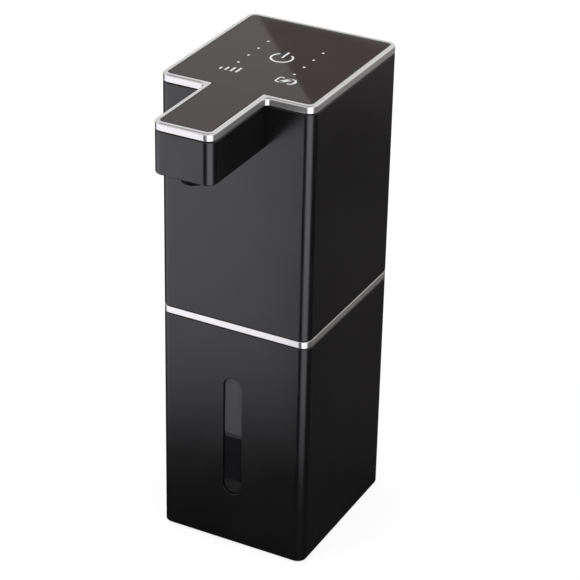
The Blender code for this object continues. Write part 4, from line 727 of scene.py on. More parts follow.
TUBE_CLEAR = Finish("tube_clear", "clear_plastic", (0.62, 0.64, 0.66), 0.15, ior=1.49, alpha=0.45,
                    grain_depth=0.000001)
GREY_PLASTIC = Finish("grey_plastic", "grey_plastic", (0.17, 0.17, 0.175), 0.48,
                      grain_scale=1800.0, grain_depth=0.00001)
WHITE_PLASTIC = Finish("white_plastic", "white_plastic", (0.74, 0.74, 0.72), 0.42,
                       grain_scale=1500.0, grain_depth=0.000006, subsurface=0.1)
DARK_RUBBER = Finish("dark_rubber", "dark_rubber", (0.016, 0.016, 0.016), 0.62,
                     grain_scale=1600.0, grain_depth=0.00001, tint=0.15)
PALE_RUBBER = Finish("pale_rubber", "pale_rubber", (0.66, 0.65, 0.62), 0.5,
                     grain_scale=1200.0, grain_depth=0.000008, subsurface=0.2)
STEEL = Finish("steel", "steel", (0.56, 0.57, 0.58), 0.28, metallic=1.0,
               grain_scale=4200.0, grain_depth=0.000003, cloud=0.06)
COPPER = Finish("copper", "copper", (0.70, 0.36, 0.20), 0.35, metallic=1.0,
                grain_scale=1400.0, grain_depth=0.00003, cloud=0.08, tint=0.2)
BOARD = BoardFinish("circuit_board", "circuit_board", (0.018, 0.12, 0.05), 0.4, grain_depth=0.000006)
CELL_WRAP = Finish("cell_wrap", "cell_wrap", (0.045, 0.14, 0.38), 0.3,
                   grain_scale=500.0, grain_depth=0.00001, coat=0.4)
SENSOR_FILTER = Finish("sensor_filter", "sensor_filter", (0.030, 0.006, 0.010), 0.07,
                       grain_scale=700.0, grain_depth=0.000001, cloud=0.01, coat=0.5)
# The icons' ink glows faintly: painted light that keeps them bright
ICON_WHITE = Finish("icon_white", "white_plastic", (0.86, 0.86, 0.88), 0.35,
                    grain_depth=0.000001, glow=0.16)

BY_SLOT = {finish.slot: finish for finish in (
    CASING_BLACK, PANEL_BLACK, SILVER_TRIM, TUBE_CLEAR, GREY_PLASTIC, WHITE_PLASTIC, DARK_RUBBER,
    PALE_RUBBER, STEEL, COPPER, BOARD, CELL_WRAP, SENSOR_FILTER,
)}


def place(name: str, made: object, finish: Finish, body: Body, nodes: Sequence[str] = ()) -> None:
    """Puts a finished piece into the scene, at the origin, on the body that it moves with.

    Args:
        name: the piece's name.
        made: its shape, or its finished mesh.
        finish: its finish.
        body: the body that it rides on.
        nodes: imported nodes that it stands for.
    """
    mesh = mesh_of(made) if isinstance(made, Shape) else made
    mesh.name = name
    mesh.shade_smooth()
    mesh.set_sharp_from_angle(angle=CRISP)
    mesh.materials.clear()
    mesh.materials.append(finish.material())
    piece = linked(name, mesh)
    weighted = piece.modifiers.new("even_flats", "WEIGHTED_NORMAL")
    weighted.keep_sharp = True
    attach(piece, body.value)
    if nodes:
        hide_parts(*nodes)
    LOG.info("%s: %d faces on %s", name, len(mesh.polygons), body.value)


def middle(node: str) -> Point:
    """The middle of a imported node's box."""
    low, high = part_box(node)
    return tuple((a + b) / 2 for a, b in zip(low, high))


# Sizes shared by the sub-assemblies

@dataclass(frozen=True)
class Casing:
    """Plan sizes and levels of the casing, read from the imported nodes, and its shared radii."""

    half_width: float
    half_depth: float
    spout_half: float
    spout_front: float
    spout_bottom: float
    foot: float
    lower_top: float
    upper_bottom: float
    upper_top: float
    seam: float = 0.0003
    overrun: float = 0.0020
    corner: float = 0.0040
    armpit: float = 0.0026
    armpit_growth: float = -1.2
    neck: float = 0.0004
    lower_wall: float = 0.0026
    upper_wall: float = 0.0024
    spout_wall: float = 0.0018

    def body_plan(self) -> Plan:
        """The casing's footprint."""
        return centred(self.half_width, self.half_depth, self.corner)

    def top_plan(self) -> Plan:
        """The T of the body and its spout.

        Returns:
            The plan.
        """
        w, d, s, f = self.half_width, self.half_depth, self.spout_half, self.spout_front
        corners = ((-s, f), (s, f), (s, -d), (w, -d), (w, d), (-w, d), (-w, -d), (-s, -d))
        c, n = self.corner, self.armpit
        return Plan(corners, (c, c, n, c, c, c, c, n), growth=self.armpit_growth)

    def arm_plan(self, low: Sequence[float], high: Sequence[float], radius: float) -> Plan:
        """A rectangle with round corners at the front, and nearly square ones at the body's end."""
        return Plan(rectangle(low, high, radius).corners, (radius, radius, self.neck, self.neck))


def read_casing() -> Casing:
    """The casing's sizes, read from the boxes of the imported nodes.

    Returns:
        The sizes.
    """
    lower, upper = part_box("lower_shell"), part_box("upper_housing")
    lid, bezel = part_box("spout_cover"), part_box("top_bezel")
    return Casing(
        half_width=lower[1].x,
        half_depth=lower[1].y,
        spout_half=lid[1].x + Casing.spout_wall + Casing.seam,
        spout_front=bezel[0].y,
        spout_bottom=lid[0].z,
        foot=lower[0].z,
        lower_top=lower[1].z,
        upper_bottom=upper[0].z,
        upper_top=upper[1].z,
    )


# Screws, used by several sub-assemblies

@dataclass(frozen=True)
class Screw:
    """A small pan-head screw with a cross recess, head down."""

    head_radius: float = 0.0019
    head_height: float = 0.0009
    shank_radius: float = 0.0008
    recess_half: float = 0.0011
    recess_width: float = 0.0004
    recess_depth: float = 0.0005
    sides: int = 24

    def mesh(self, centre: Sequence[float], shank: float) -> bpy.types.Mesh:
        """The screw with its seat at a centre.

        Args:
            centre: the middle of the head's flat side.
            shank: the shank's length above it.

        Returns:
            The finished mesh.
        """
        head, height, thin = self.head_radius, self.head_height, self.shank_radius
        section = eased([
            (TINY, -height, 0.0), (head, -height, height / 2), (head, 0.0, 0.0), (thin, 0.0, 0.0),
            (thin, shank, thin / 2), (TINY, shank, 0.0),
        ], looped=False)
        half, wide, deep = self.recess_half, self.recess_width / 2, self.recess_depth
        cross = [box((-x, -y, -height - deep), (x, y, deep - height))
                 for x, y in ((half, wide), (wide, half))]
        base = turned(section, Ends.CAPPED, self.sides).moved(centre)
        return carved(base, [(Operation.CUT, arm.moved(centre)) for arm in cross])


# The reservoir

@dataclass
class Reservoir:
    """The lower unit: casing with its sight slot, tank, soap, base plate and foot pad."""

    casing: Casing
    slot_half_width: float = 0.00425
    slot_half_length: float = 0.0276
    slot_height: float = 0.0520
    slot_ease: float = 0.0002
    slot_steps: int = 5
    edge_ease: float = 0.00035
    fine_ease: float = 0.0002
    rebate_wall: float = 0.0014
    rebate_depth: float = 0.0046
    tank_wall: float = 0.0016
    tank_corner: float = 0.0030
    tank_floor: float = 0.0018
    tank_ease: float = 0.0012
    tank_flat: float = 0.0015
    flange_height: float = 0.0020
    window_gap: float = 0.0001
    window_recess: float = 0.0009
    window_root: float = 0.0005
    soap_gap: float = 0.00005
    soap_level: float = 0.0515
    meniscus_rise: float = 0.0009
    meniscus_reach: float = 0.0012
    meniscus_steps: int = 14
    base_corner: float = 0.0011
    base_rise: float = 0.0026
    base_flat: float = 0.004
    pad_corner: float = 0.0030
    pad_flat: float = 0.001
    pad_border: float = 0.0011
    pad_reach: float = 0.0220
    pad_steps: int = 96
    pad_rib: float = 0.0022
    pad_groove: float = 0.0004
    pad_steepness: float = 1.6

    def build(self) -> None:
        """Builds every piece of the reservoir."""
        self.build_shell()
        self.build_tank()
        self.build_soap()
        self.build_base()
        self.build_pad()

    def slot_form(self, radii: Array, depth: Array) -> Shape:
        """A stack of capsules in the slot, one of each radius at each distance before the middle."""
        flat = capsules(radii, self.slot_half_length - self.slot_half_width)
        return raised(flat, depth, Ends.CAPPED).moved((0.0, 0.0, self.slot_height), TO_FRONT)

    def slot_cutter(self) -> Shape:
        """The slot's cutter: capsules whose radius grows by a quarter circle at the outer face.

        Returns:
            The cutter, in its place.
        """
        c, r = self.casing, self.slot_ease
        turn = np.linspace(0.0, math.pi / 2, self.slot_steps + 1)
        rounding = c.half_depth - r + r * np.sin(turn)
        inside, outside = c.half_depth - c.lower_wall - c.overrun, c.half_depth + c.overrun
        depth = np.concatenate([[inside], rounding, [outside]])
        grow = np.concatenate([[0.0], r * (1 - np.cos(turn)), [r]])
        return self.slot_form(self.slot_half_width + grow, depth)

    def raised_window(self) -> Shape:
        """The tank's window: a capsule that stands up from its front wall into the slot.

        Returns:
            The closed shape, in its place.
        """
        c, e = self.casing, self.fine_ease
        wall, top = c.half_depth - c.lower_wall - c.seam, c.half_depth - self.window_recess
        radius = self.slot_half_width - self.window_gap
        depth = np.array([wall - self.window_root, top - e, top])
        return self.slot_form(np.array([radius, radius, radius - e]), depth)

    def build_shell(self) -> None:
        """The black casing: a wall section carried round the footprint, with the slot cut through."""
        c, e = self.casing, self.edge_ease
        step = c.lower_top - self.rebate_depth
        section = eased([
            (0.0, c.foot, e), (0.0, c.lower_top, e), (self.rebate_wall, c.lower_top, e / 2),
            (self.rebate_wall, step, 0.0), (c.lower_wall, step, e / 2), (c.lower_wall, c.foot, e / 2),
        ])
        mesh = carved(carried(c.body_plan(), section), [(Operation.CUT, self.slot_cutter())])
        place("lower_shell_skin", mesh, CASING_BLACK, Body.RESERVOIR, ["lower_shell"])

    def tank_plan(self) -> Plan:
        """The tank's outer plan.

        Returns:
            The plan.
        """
        inset = self.casing.lower_wall + self.casing.seam
        half_x, half_y = self.casing.half_width - inset, self.casing.half_depth - inset
        return centred(half_x, half_y, self.tank_corner)

    def build_tank(self) -> None:
        """The clear tank: one section from under its floor, over its flange, down to its floor."""
        low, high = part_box("soap_tank")
        out, wall, e = self.rebate_wall - self.casing.lower_wall, self.tank_wall, self.fine_ease
        flange, floor = high.z - self.flange_height, low.z + self.tank_floor
        tank = filled(self.tank_plan(), [
            (self.tank_flat, low.z, 0.0), (0.0, low.z, self.tank_ease), (0.0, flange, e),
            (out, flange, 1.5 * e), (out, high.z, 2 * e), (wall, high.z, 3 * e),
            (wall, floor, self.tank_ease), (wall + self.tank_flat, floor, 0.0),
        ])
        mesh = carved(tank, [(Operation.ADD, self.raised_window())])
        place("soap_tank_wall", mesh, TANK_CLEAR, Body.RESERVOIR, ["soap_tank"])

    def build_soap(self) -> None:
        """The liquid, whose surface rises at the wall as rise times exp(-inset / reach)."""
        gap, e = self.tank_wall + self.soap_gap, self.tank_ease
        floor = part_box("soap_tank")[0].z + self.tank_floor + self.soap_gap
        inset = np.linspace(0.0, 6 * self.meniscus_reach, self.meniscus_steps)
        surface = self.soap_level + self.meniscus_rise * np.exp(-inset / self.meniscus_reach)
        wall = np.array([(gap + e, floor), (gap + e / 4, floor + e / 3), (gap, floor + e)])
        section = np.concatenate([wall, np.stack([gap + inset, surface], 1)])
        place("liquid_soap", carried(self.tank_plan(), section, Ends.CAPPED), SOAP, Body.RESERVOIR)

    def build_base(self) -> None:
        """The plate under the casing, with the recess that the foot pad sits in."""
        low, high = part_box("base_plate")
        pad, c, e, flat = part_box("foot_pad")[1], self.casing, self.fine_ease, self.base_flat
        margin, ceiling, top = high.x - pad.x - c.seam, pad.z + c.seam, low.z + self.base_rise
        plate = filled(rectangle(low, high, self.base_corner), [
            (margin + flat, ceiling, 0.0), (margin, ceiling, 0.0), (margin, low.z, e),
            (0.0, low.z, e), (0.0, top, e), (flat, top, 0.0),
        ])
        place("base_plate_skin", plate, CASING_BLACK, Body.RESERVOIR, ["base_plate"])

    def build_pad(self) -> None:
        """The anti-slip pad: its sole rises by the groove's depth where a clipped sine wave is high."""
        low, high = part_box("foot_pad")
        inset = np.linspace(self.pad_border, self.pad_reach, self.pad_steps)
        phase = 2 * math.pi * (inset - inset[0]) / self.pad_rib - math.pi / 2
        wave = np.clip(self.pad_steepness * np.sin(phase), -1.0, 1.0)
        sole = low.z + self.pad_groove * (wave + 1) / 2
        line = [(0.0, high.z, 0.0), (0.0, low.z, 2 * self.fine_ease), (inset[0], low.z, 0.0)]
        edge = eased(line, looped=False)
        section = np.concatenate([[(self.pad_flat, high.z)], edge[:-1], np.stack([inset, sole], 1)])
        pad = carried(rectangle(low, high, self.pad_corner), section, Ends.CAPPED)
        place("foot_pad_skin", pad, DARK_RUBBER, Body.RESERVOIR, ["foot_pad"])


# The pump unit's casing

@dataclass
class PumpUnit:
    """The upper unit: band, casing with its spout, spout lid, nozzle, sensor window and port."""

    casing: Casing
    edge_ease: float = 0.0003
    fine_ease: float = 0.0002
    spout_ease: float = 0.0007
    flat: float = 0.003
    band_ease: float = 0.00025
    band_wall: float = 0.0024
    passage_half: float = 0.0095
    passage_sill: float = 0.0029
    port_corner: float = 0.0016
    lid_thickness: float = 0.0020
    lid_corner: float = 0.0019
    nozzle_radius: float = 0.0046
    nozzle_neck: float = 0.0036
    nozzle_bore: float = 0.0024
    nozzle_flare: Pair = (0.0007, 0.0012)
    window_corner: float = 0.0015
    window_flat: float = 0.001
    lip: float = 0.0008
    cover_corner: float = 0.0020
    cover_thickness: float = 0.0009
    cover_border: float = 0.0012
    tongue: Pair = (0.0033, 0.00055)
    grip: Pair = (0.0020, 0.00035)
    grip_rise: float = 0.0016
    tube_radius: float = 0.0030
    tube_bore: float = 0.0020
    cup_radius: float = 0.0050
    cup_bore: float = 0.0033
    cup_floor: float = 0.0016
    slit_count: int = 8
    slit_half: float = 0.00035
    slit_span: Pair = (0.0038, 0.0060)
    slit_ends: Pair = (0.0022, 0.0012)
    notch: Point = (0.007, 0.0006, 0.0012)
    screw: Screw = field(default_factory=Screw)

    def build(self) -> None:
        """Builds every visible piece of the pump unit's casing."""
        self.build_band()
        self.build_housing()
        self.build_lid()
        self.build_nozzle()
        self.build_window()
        self.build_cover()
        self.build_suction_line()
        self.build_screws()

    def build_band(self) -> None:
        """The silver band, its section carried round the footprint."""
        low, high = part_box("mid_band")
        e, wall = self.band_ease, self.band_wall
        section = eased([(0.0, low.z, e), (0.0, high.z, e), (wall, high.z, e / 3), (wall, low.z, e / 3)])
        band = carried(self.casing.body_plan(), section)
        place("mid_band_skin", band, BAND_SILVER, Body.PUMP_UNIT, ["mid_band"])

    def build_housing(self) -> None:
        """The black casing: body and spout joined, then hollowed, with the port's recess at the back."""
        c, e, half = self.casing, self.edge_ease, self.passage_half
        front, root = c.spout_front, -c.half_depth
        spout_plan = c.arm_plan((-c.spout_half, front), (c.spout_half, root + c.upper_wall / 2), c.corner)
        body = slab(c.body_plan(), c.upper_bottom, c.upper_top, e, e, self.flat)
        spout = slab(spout_plan, c.spout_bottom, c.upper_top, self.spout_ease, e, self.flat)
        low, high = c.upper_bottom - c.overrun, c.upper_top + c.overrun
        arm, wall = c.spout_half - c.spout_wall, c.spout_wall
        room_plan = c.arm_plan((-arm, front + wall), (arm, root), c.corner - wall)
        passage_end = root + c.upper_wall + c.overrun
        cutters = [
            prism(c.body_plan().rings([c.upper_wall])[0], low, high),
            prism(room_plan.rings([0.0])[0], c.spout_bottom - c.overrun, high),
            box((-half, root - c.overrun, c.spout_bottom + self.passage_sill), (half, passage_end, high)),
            self.port_cutter(),
        ]
        mesh = carved(body, [(Operation.ADD, spout)] + [(Operation.CUT, cutter) for cutter in cutters])
        place("upper_housing_skin", mesh, CASING_BLACK, Body.PUMP_UNIT, ["upper_housing"])

    def port_cutter(self) -> Shape:
        """The port's hole and the cover's recess: insets of two plans, stacked outwards.

        Returns:
            The cutter, in its place.
        """
        c, e = self.casing, self.edge_ease
        cover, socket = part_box("usb_cover"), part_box("usb_socket")
        half_z = (cover[1].z - cover[0].z) / 2 + c.seam
        recess = centred(cover[1].x + c.seam, half_z, self.cover_corner + c.seam)
        hole = centred(socket[1].x + c.seam, (socket[1].z - socket[0].z) / 2 + c.seam, self.port_corner)
        face, floor = c.half_depth, c.half_depth - self.cover_thickness - c.seam
        stack = ((hole, 0.0), (hole, 0.0), (recess, 0.0), (recess, 0.0), (recess, -e))
        rings = np.stack([plan.rings([inset])[0] for plan, inset in stack])
        depth = (face - c.upper_wall - c.overrun, floor, floor, face - e, face + e / 3)
        return raised(rings, depth, Ends.CAPPED).moved((0.0, 0.0, middle("usb_cover")[2]), TO_BACK)

    def build_lid(self) -> None:
        """The lid under the spout, with the holes for nozzle, sensor window and screws."""
        c, e = self.casing, self.edge_ease
        low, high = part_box("spout_cover")
        top = low.z + self.lid_thickness
        base = slab(c.arm_plan(low, high, self.lid_corner), low.z, top, e, self.fine_ease, self.flat)
        under, over = low.z - c.overrun, top + c.overrun
        r, ease = self.nozzle_radius + c.seam, 2 * self.fine_ease
        hole = turned(np.array([
            (r + ease + c.overrun / 2, under), (r + ease, low.z - e / 3), (r + ease, low.z),
            (r, low.z + ease), (r, over),
        ]), Ends.CAPPED).moved((0.0, middle("nozzle_tip")[1], 0.0))
        window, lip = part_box("sensor_window"), self.lip
        ledge, rest = window[0].z - c.seam, -lip - c.seam
        half_x, half_y = window[1].x - lip, (window[1].y - window[0].y) / 2 - lip
        seat = carried(centred(half_x, half_y, self.window_corner - lip), np.array([
            (c.overrun, under), (-e, under), (-e, low.z), (0.0, low.z + e), (0.0, ledge),
            (rest, ledge), (rest, over), (c.overrun, over),
        ]), Ends.CAPPED).moved((0.0, middle("sensor_window")[1], 0.0))
        cuts = [hole, seat]
        wide, thin = self.screw.head_radius + c.seam, self.screw.shank_radius + c.seam
        for node in ("spout_screw_1", "spout_screw_2"):
            x, y, _ = middle(node)
            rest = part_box(node)[0].z + self.screw.head_height + c.seam
            section = [(wide / 2, under), (wide, under), (wide, rest), (thin, rest), (thin, over)]
            cuts.append(turned(np.array(section), Ends.CAPPED, self.screw.sides).moved((x, y, 0.0)))
        mesh = carved(base, [(Operation.CUT, joined(cuts))])
        place("spout_lid", mesh, CASING_BLACK, Body.PUMP_UNIT, ["spout_cover"])

    def build_nozzle(self) -> None:
        """The nozzle's tip: a turned cup with a rounded lip and a flared outlet."""
        low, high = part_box("nozzle_tip")
        r, neck, bore = self.nozzle_radius, self.nozzle_neck, self.nozzle_bore
        (flare, rise), e, fine = self.nozzle_flare, self.edge_ease, self.fine_ease
        shelf = self.casing.spout_bottom + self.lid_thickness
        section = eased([
            (bore, low.z + rise, e), (bore + flare, low.z, 2 * fine), (r, low.z, e), (r, shelf, fine),
            (neck, shelf, fine), (neck, high.z, fine), (bore, high.z, fine),
        ])
        tip = turned(section).moved((0.0, middle("nozzle_tip")[1], 0.0))
        place("nozzle_tip_skin", tip, NOZZLE_BLACK, Body.PUMP_UNIT, ["nozzle_tip"])

    def build_window(self) -> None:
        """The sensor's dark window."""
        low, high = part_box("sensor_window")
        plan, e = rectangle(low, high, self.window_corner), self.fine_ease
        window = slab(plan, low.z, high.z, e, e, self.window_flat)
        place("sensor_window_skin", window, SENSOR_FILTER, Body.PUMP_UNIT, ["sensor_window"])

    def build_cover(self) -> None:
        """The port's soft cover: an eased plate with a finger lip, and the tongue that plugs the port."""
        low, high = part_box("usb_cover")
        floor, face = self.casing.half_depth - self.cover_thickness, high.y
        e, fine, border = self.edge_ease, self.fine_ease, self.cover_border
        sunk = face - fine
        plate = filled(centred(high.x, (high.z - low.z) / 2, self.cover_corner), [
            (self.cover_corner, floor, 0.0), (0.0, floor, fine / 2), (0.0, face, e), (border, face, e),
            (border + e, sunk, fine), (border + 2 * e, sunk, 0.0),
        ])
        tongue = slab(centred(*self.tongue, e, 4, fine / 2), low.y, floor + fine, fine, 0.0, fine)
        grip = slab(centred(*self.grip, e, 4, fine / 2), face - e - fine, face, 0.0, fine, fine)
        level = middle("usb_cover")[2]
        plate, tongue = (part.moved((0.0, 0.0, level), TO_BACK) for part in (plate, tongue))
        grip = grip.moved((0.0, 0.0, low.z + self.grip_rise), TO_BACK)
        mesh = carved(plate, [(Operation.ADD, tongue), (Operation.ADD, grip)])
        place("port_cover", mesh, DARK_RUBBER, Body.COVER, ["usb_cover"])

    def build_suction_line(self) -> None:
        """The dip tube and the slotted strainer at its foot."""
        low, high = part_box("dip_tube")
        foot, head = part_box("inlet_strainer")
        x, y, _ = middle("dip_tube")
        r, bore, e, fine = self.tube_radius, self.tube_bore, self.edge_ease, self.fine_ease
        section = eased([(r, low.z, e), (r, high.z, e), (bore, high.z, fine), (bore, low.z, fine)])
        tube = turned(section).moved((x, y, 0.0))
        place("dip_tube_skin", tube, TUBE_CLEAR, Body.PUMP_UNIT, ["dip_tube"])
        wide, inner, floor = self.cup_radius, self.cup_bore, foot.z + self.cup_floor
        cup = turned(eased([
            (bore, foot.z, e), (wide, foot.z, e + fine), (wide, head.z, 2 * e), (inner, head.z, fine),
            (inner, floor, fine / 2), (bore, floor, fine / 2),
        ])).moved((x, y, 0.0))
        (near, far), (under, over), half = self.slit_span, self.slit_ends, self.slit_half
        slit = box((near, -half, foot.z + under), (far, half, head.z - over))
        turns = [2 * math.pi * number / self.slit_count for number in range(self.slit_count)]
        slits = joined([slit.moved((x, y, 0.0), np.array(Matrix.Rotation(turn, 3, "Z"))) for turn in turns])
        reach, thin, depth = self.notch
        notches = [box((x - a, y - b, foot.z - self.casing.overrun / 2), (x + a, y + b, foot.z + depth))
                   for a, b in ((reach, thin), (thin, reach))]
        mesh = carved(cup, [(Operation.CUT, cutter) for cutter in (slits, *notches)])
        place("strainer", mesh, WHITE_PLASTIC, Body.PUMP_UNIT, ["inlet_strainer"])

    def build_screws(self) -> None:
        """The screws that show under the deck and under the spout."""
        nodes = ["deck_screw_%d" % number for number in range(1, 5)] + ["spout_screw_1", "spout_screw_2"]
        for node in nodes:
            low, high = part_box(node)
            x, y, _ = middle(node)
            seat = low.z + self.screw.head_height
            mesh = self.screw.mesh((x, y, seat), high.z - seat)
            place(node + "_cross", mesh, STEEL, Body.PUMP_UNIT, [node])


# The touch top

@dataclass
class TouchTop:
    """The silver frame, the black panel in it and the panel's icons."""

    casing: Casing
    rim: float = 0.0019
    ledge: float = 0.0014
    ledge_height: float = 0.0010
    edge_break: float = 0.0003
    top_ease: float = 0.0008
    panel_drop: float = 0.00007
    panel_ease: float = 0.0002
    panel_flat: float = 0.003
    ink: float = 0.00002
    power_centre: Pair = (0.0004, -0.0001)
    power_radius: float = 0.00432
    power_stroke: float = 0.00086
    power_gap: float = 1.25
    power_steps: int = 48
    power_bar: Pair = (0.0002, 0.0062)
    dot_radius: float = 0.00056
    dot_sides: int = 20
    dot_column: float = 0.0121
    dot_pitch: float = 0.0081
    icon_row: float = -0.0215
    bar_width: float = 0.0009
    bar_slots: tuple[float, ...] = (-0.0152, -0.0129, -0.0105, -0.0082)
    bar_lengths: tuple[float, ...] = (0.0020, 0.0032, 0.0041, 0.0047)
    battery_low: Pair = (0.0086, -0.0215)
    battery_high: Pair = (0.0157, -0.0170)
    battery_stroke: float = 0.00070
    battery_corner: float = 0.0009
    bolt_gap: float = 0.0016
    bolt_half: tuple[Pair, ...] = ((0.0013, 0.0031), (-0.0022, -0.0010), (-0.0001, -0.0010))
    terminal: Point = (0.0002, 0.0009, 0.0010)

    def build(self) -> None:
        """Builds the frame, the panel and the icons."""
        self.build_bezel()
        self.build_panel()
        self.build_icons()

    def build_bezel(self) -> None:
        """The T-shaped frame: a stepped section with a rounded outer edge on top."""
        low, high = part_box("top_bezel")
        rim, e, step, inner = self.rim, self.edge_break, low.z + self.ledge_height, self.rim + self.ledge
        section = eased([
            (0.0, low.z, e), (0.0, high.z, self.top_ease), (rim, high.z, e / 2), (rim, step, 0.0),
            (inner, step, e / 3), (inner, low.z, e / 3),
        ], 6)
        bezel = carried(self.casing.top_plan(), section)
        place("top_bezel_skin", bezel, SILVER_TRIM, Body.PUMP_UNIT, ["top_bezel"])

    def ink_level(self) -> float:
        """The height of the panel's face."""
        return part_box("touch_panel")[1].z - self.panel_drop

    def build_panel(self) -> None:
        """The black T-shaped panel with a softly eased edge, and a ring beside it that keeps it crisp."""
        low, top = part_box("touch_panel")[0].z, self.ink_level()
        inset, e, flat = self.rim + self.casing.seam, self.panel_ease, self.panel_flat
        panel = filled(self.casing.top_plan(), [
            (inset + flat, low, 0.0), (inset, low, e), (inset, top, e), (inset + self.edge_break, top, 0.0),
            (inset + flat, top, 0.0),
        ])
        place("touch_panel_skin", panel, PANEL_BLACK, Body.PUMP_UNIT, ["touch_panel"])

    def stroke(self, line: Array, width: float) -> Shape:
        """Ink along a flat line: each point goes half the width to either side along its normal.

        Args:
            line: (n, 2) points.
            width: the stroke's width.

        Returns:
            The thin closed shape.
        """
        tangent = np.gradient(line, axis=0)
        tangent = tangent / np.linalg.norm(tangent, axis=1, keepdims=True)
        side = np.stack([-tangent[:, 1], tangent[:, 0]], 1) * width / 2
        low, high = self.ink_level() - self.ink, self.ink_level() + self.ink
        edges = ((side, low), (-side, low), (-side, high), (side, high))
        rings = [np.column_stack([line + offset, np.full(len(line), level)]) for offset, level in edges]
        return skin(np.stack(rings, 1), Ends.CAPPED)

    def patch(self, outline: Array) -> Shape:
        """A small filled outline of ink."""
        return prism(outline, self.ink_level() - self.ink, self.ink_level() + self.ink)

    def power_icon(self) -> list[Shape]:
        """A ring open at the back, and a bar through the opening.

        Returns:
            The two strokes.
        """
        half_gap, back = self.power_gap / 2, math.pi / 2
        turn = np.linspace(back + half_gap, back + 2 * math.pi - half_gap, self.power_steps + 1)
        x, y = self.power_centre
        ring = np.stack([x + self.power_radius * np.cos(turn), y + self.power_radius * np.sin(turn)], 1)
        bar = np.array([(x, y + end) for end in self.power_bar])
        return [self.stroke(ring, self.power_stroke), self.stroke(bar, self.power_stroke)]

    def level_icon(self) -> list[Shape]:
        """Four bars that grow to the right."""
        bars = [np.array([(x, self.icon_row), (x, self.icon_row + length)])
                for x, length in zip(self.bar_slots, self.bar_lengths)]
        return [self.stroke(bar, self.bar_width) for bar in bars]

    def battery_icon(self) -> list[Shape]:
        """Two round-cornered halves of a frame, a terminal and a bolt between the halves.

        Returns:
            The four pieces of ink.
        """
        low, high = np.array(self.battery_low), np.array(self.battery_high)
        centre, (half_x, half_y), r = (low + high) / 2, (high - low) / 2, self.battery_corner
        half = eased([(-self.bolt_gap, -half_y, 0.0), (-half_x, -half_y, r), (-half_x, half_y, r),
                      (-self.bolt_gap, half_y, 0.0)], looped=False)
        sides = [self.stroke(half * (side, 1.0) + centre, self.battery_stroke) for side in (1.0, -1.0)]
        bolt = np.array(self.bolt_half)
        near, far, tall = self.terminal
        x, y = high[0], centre[1]
        terminal = np.array([
            (x + near, y - tall), (x + far, y - tall), (x + far, y + tall), (x + near, y + tall),
        ])
        return sides + [self.patch(np.concatenate([bolt, -bolt]) + centre), self.patch(terminal)]

    def dot_icons(self) -> list[Shape]:
        """Two columns of four dots.

        Returns:
            The eight dots.
        """
        turn = 2 * math.pi * np.arange(self.dot_sides) / self.dot_sides
        disc = self.dot_radius * np.stack([np.cos(turn), np.sin(turn)], 1)
        spots = [(side * self.dot_column, (step - 1.5) * self.dot_pitch)
                 for side in (-1, 1) for step in range(4)]
        return [self.patch(disc + spot) for spot in spots]

    def build_icons(self) -> None:
        """Inks each icon as a piece of its own."""
        icons: dict[str, Callable[[], list[Shape]]] = {
            "icon_power": self.power_icon, "icon_level": self.level_icon,
            "icon_battery": self.battery_icon, "icon_dots": self.dot_icons,
        }
        for name, draw in icons.items():
            place(name, joined(draw()), ICON_WHITE, Body.PUMP_UNIT)


# The pieces that stay as packed

@dataclass
class CarriedNodes:
    """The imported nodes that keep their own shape, each dressed in its slot's finish."""

    record: dict

    def dress(self) -> None:
        """Gives every node that still shows its slot's finish."""
        slots = {part["node"]: part["material_slot"] for part in self.record["subparts"]}
        for name, node in frame["nodes"].items():
            if node.hide_render:
                continue
            finish = BY_SLOT[slots[name]]
            for slot in node.material_slots:
                slot.material = finish.material()
            if not node.material_slots:
                node.data.materials.append(finish.material())
            LOG.info("%s: kept, dressed in %s", name, finish.name)


# Stage, lamps and camera

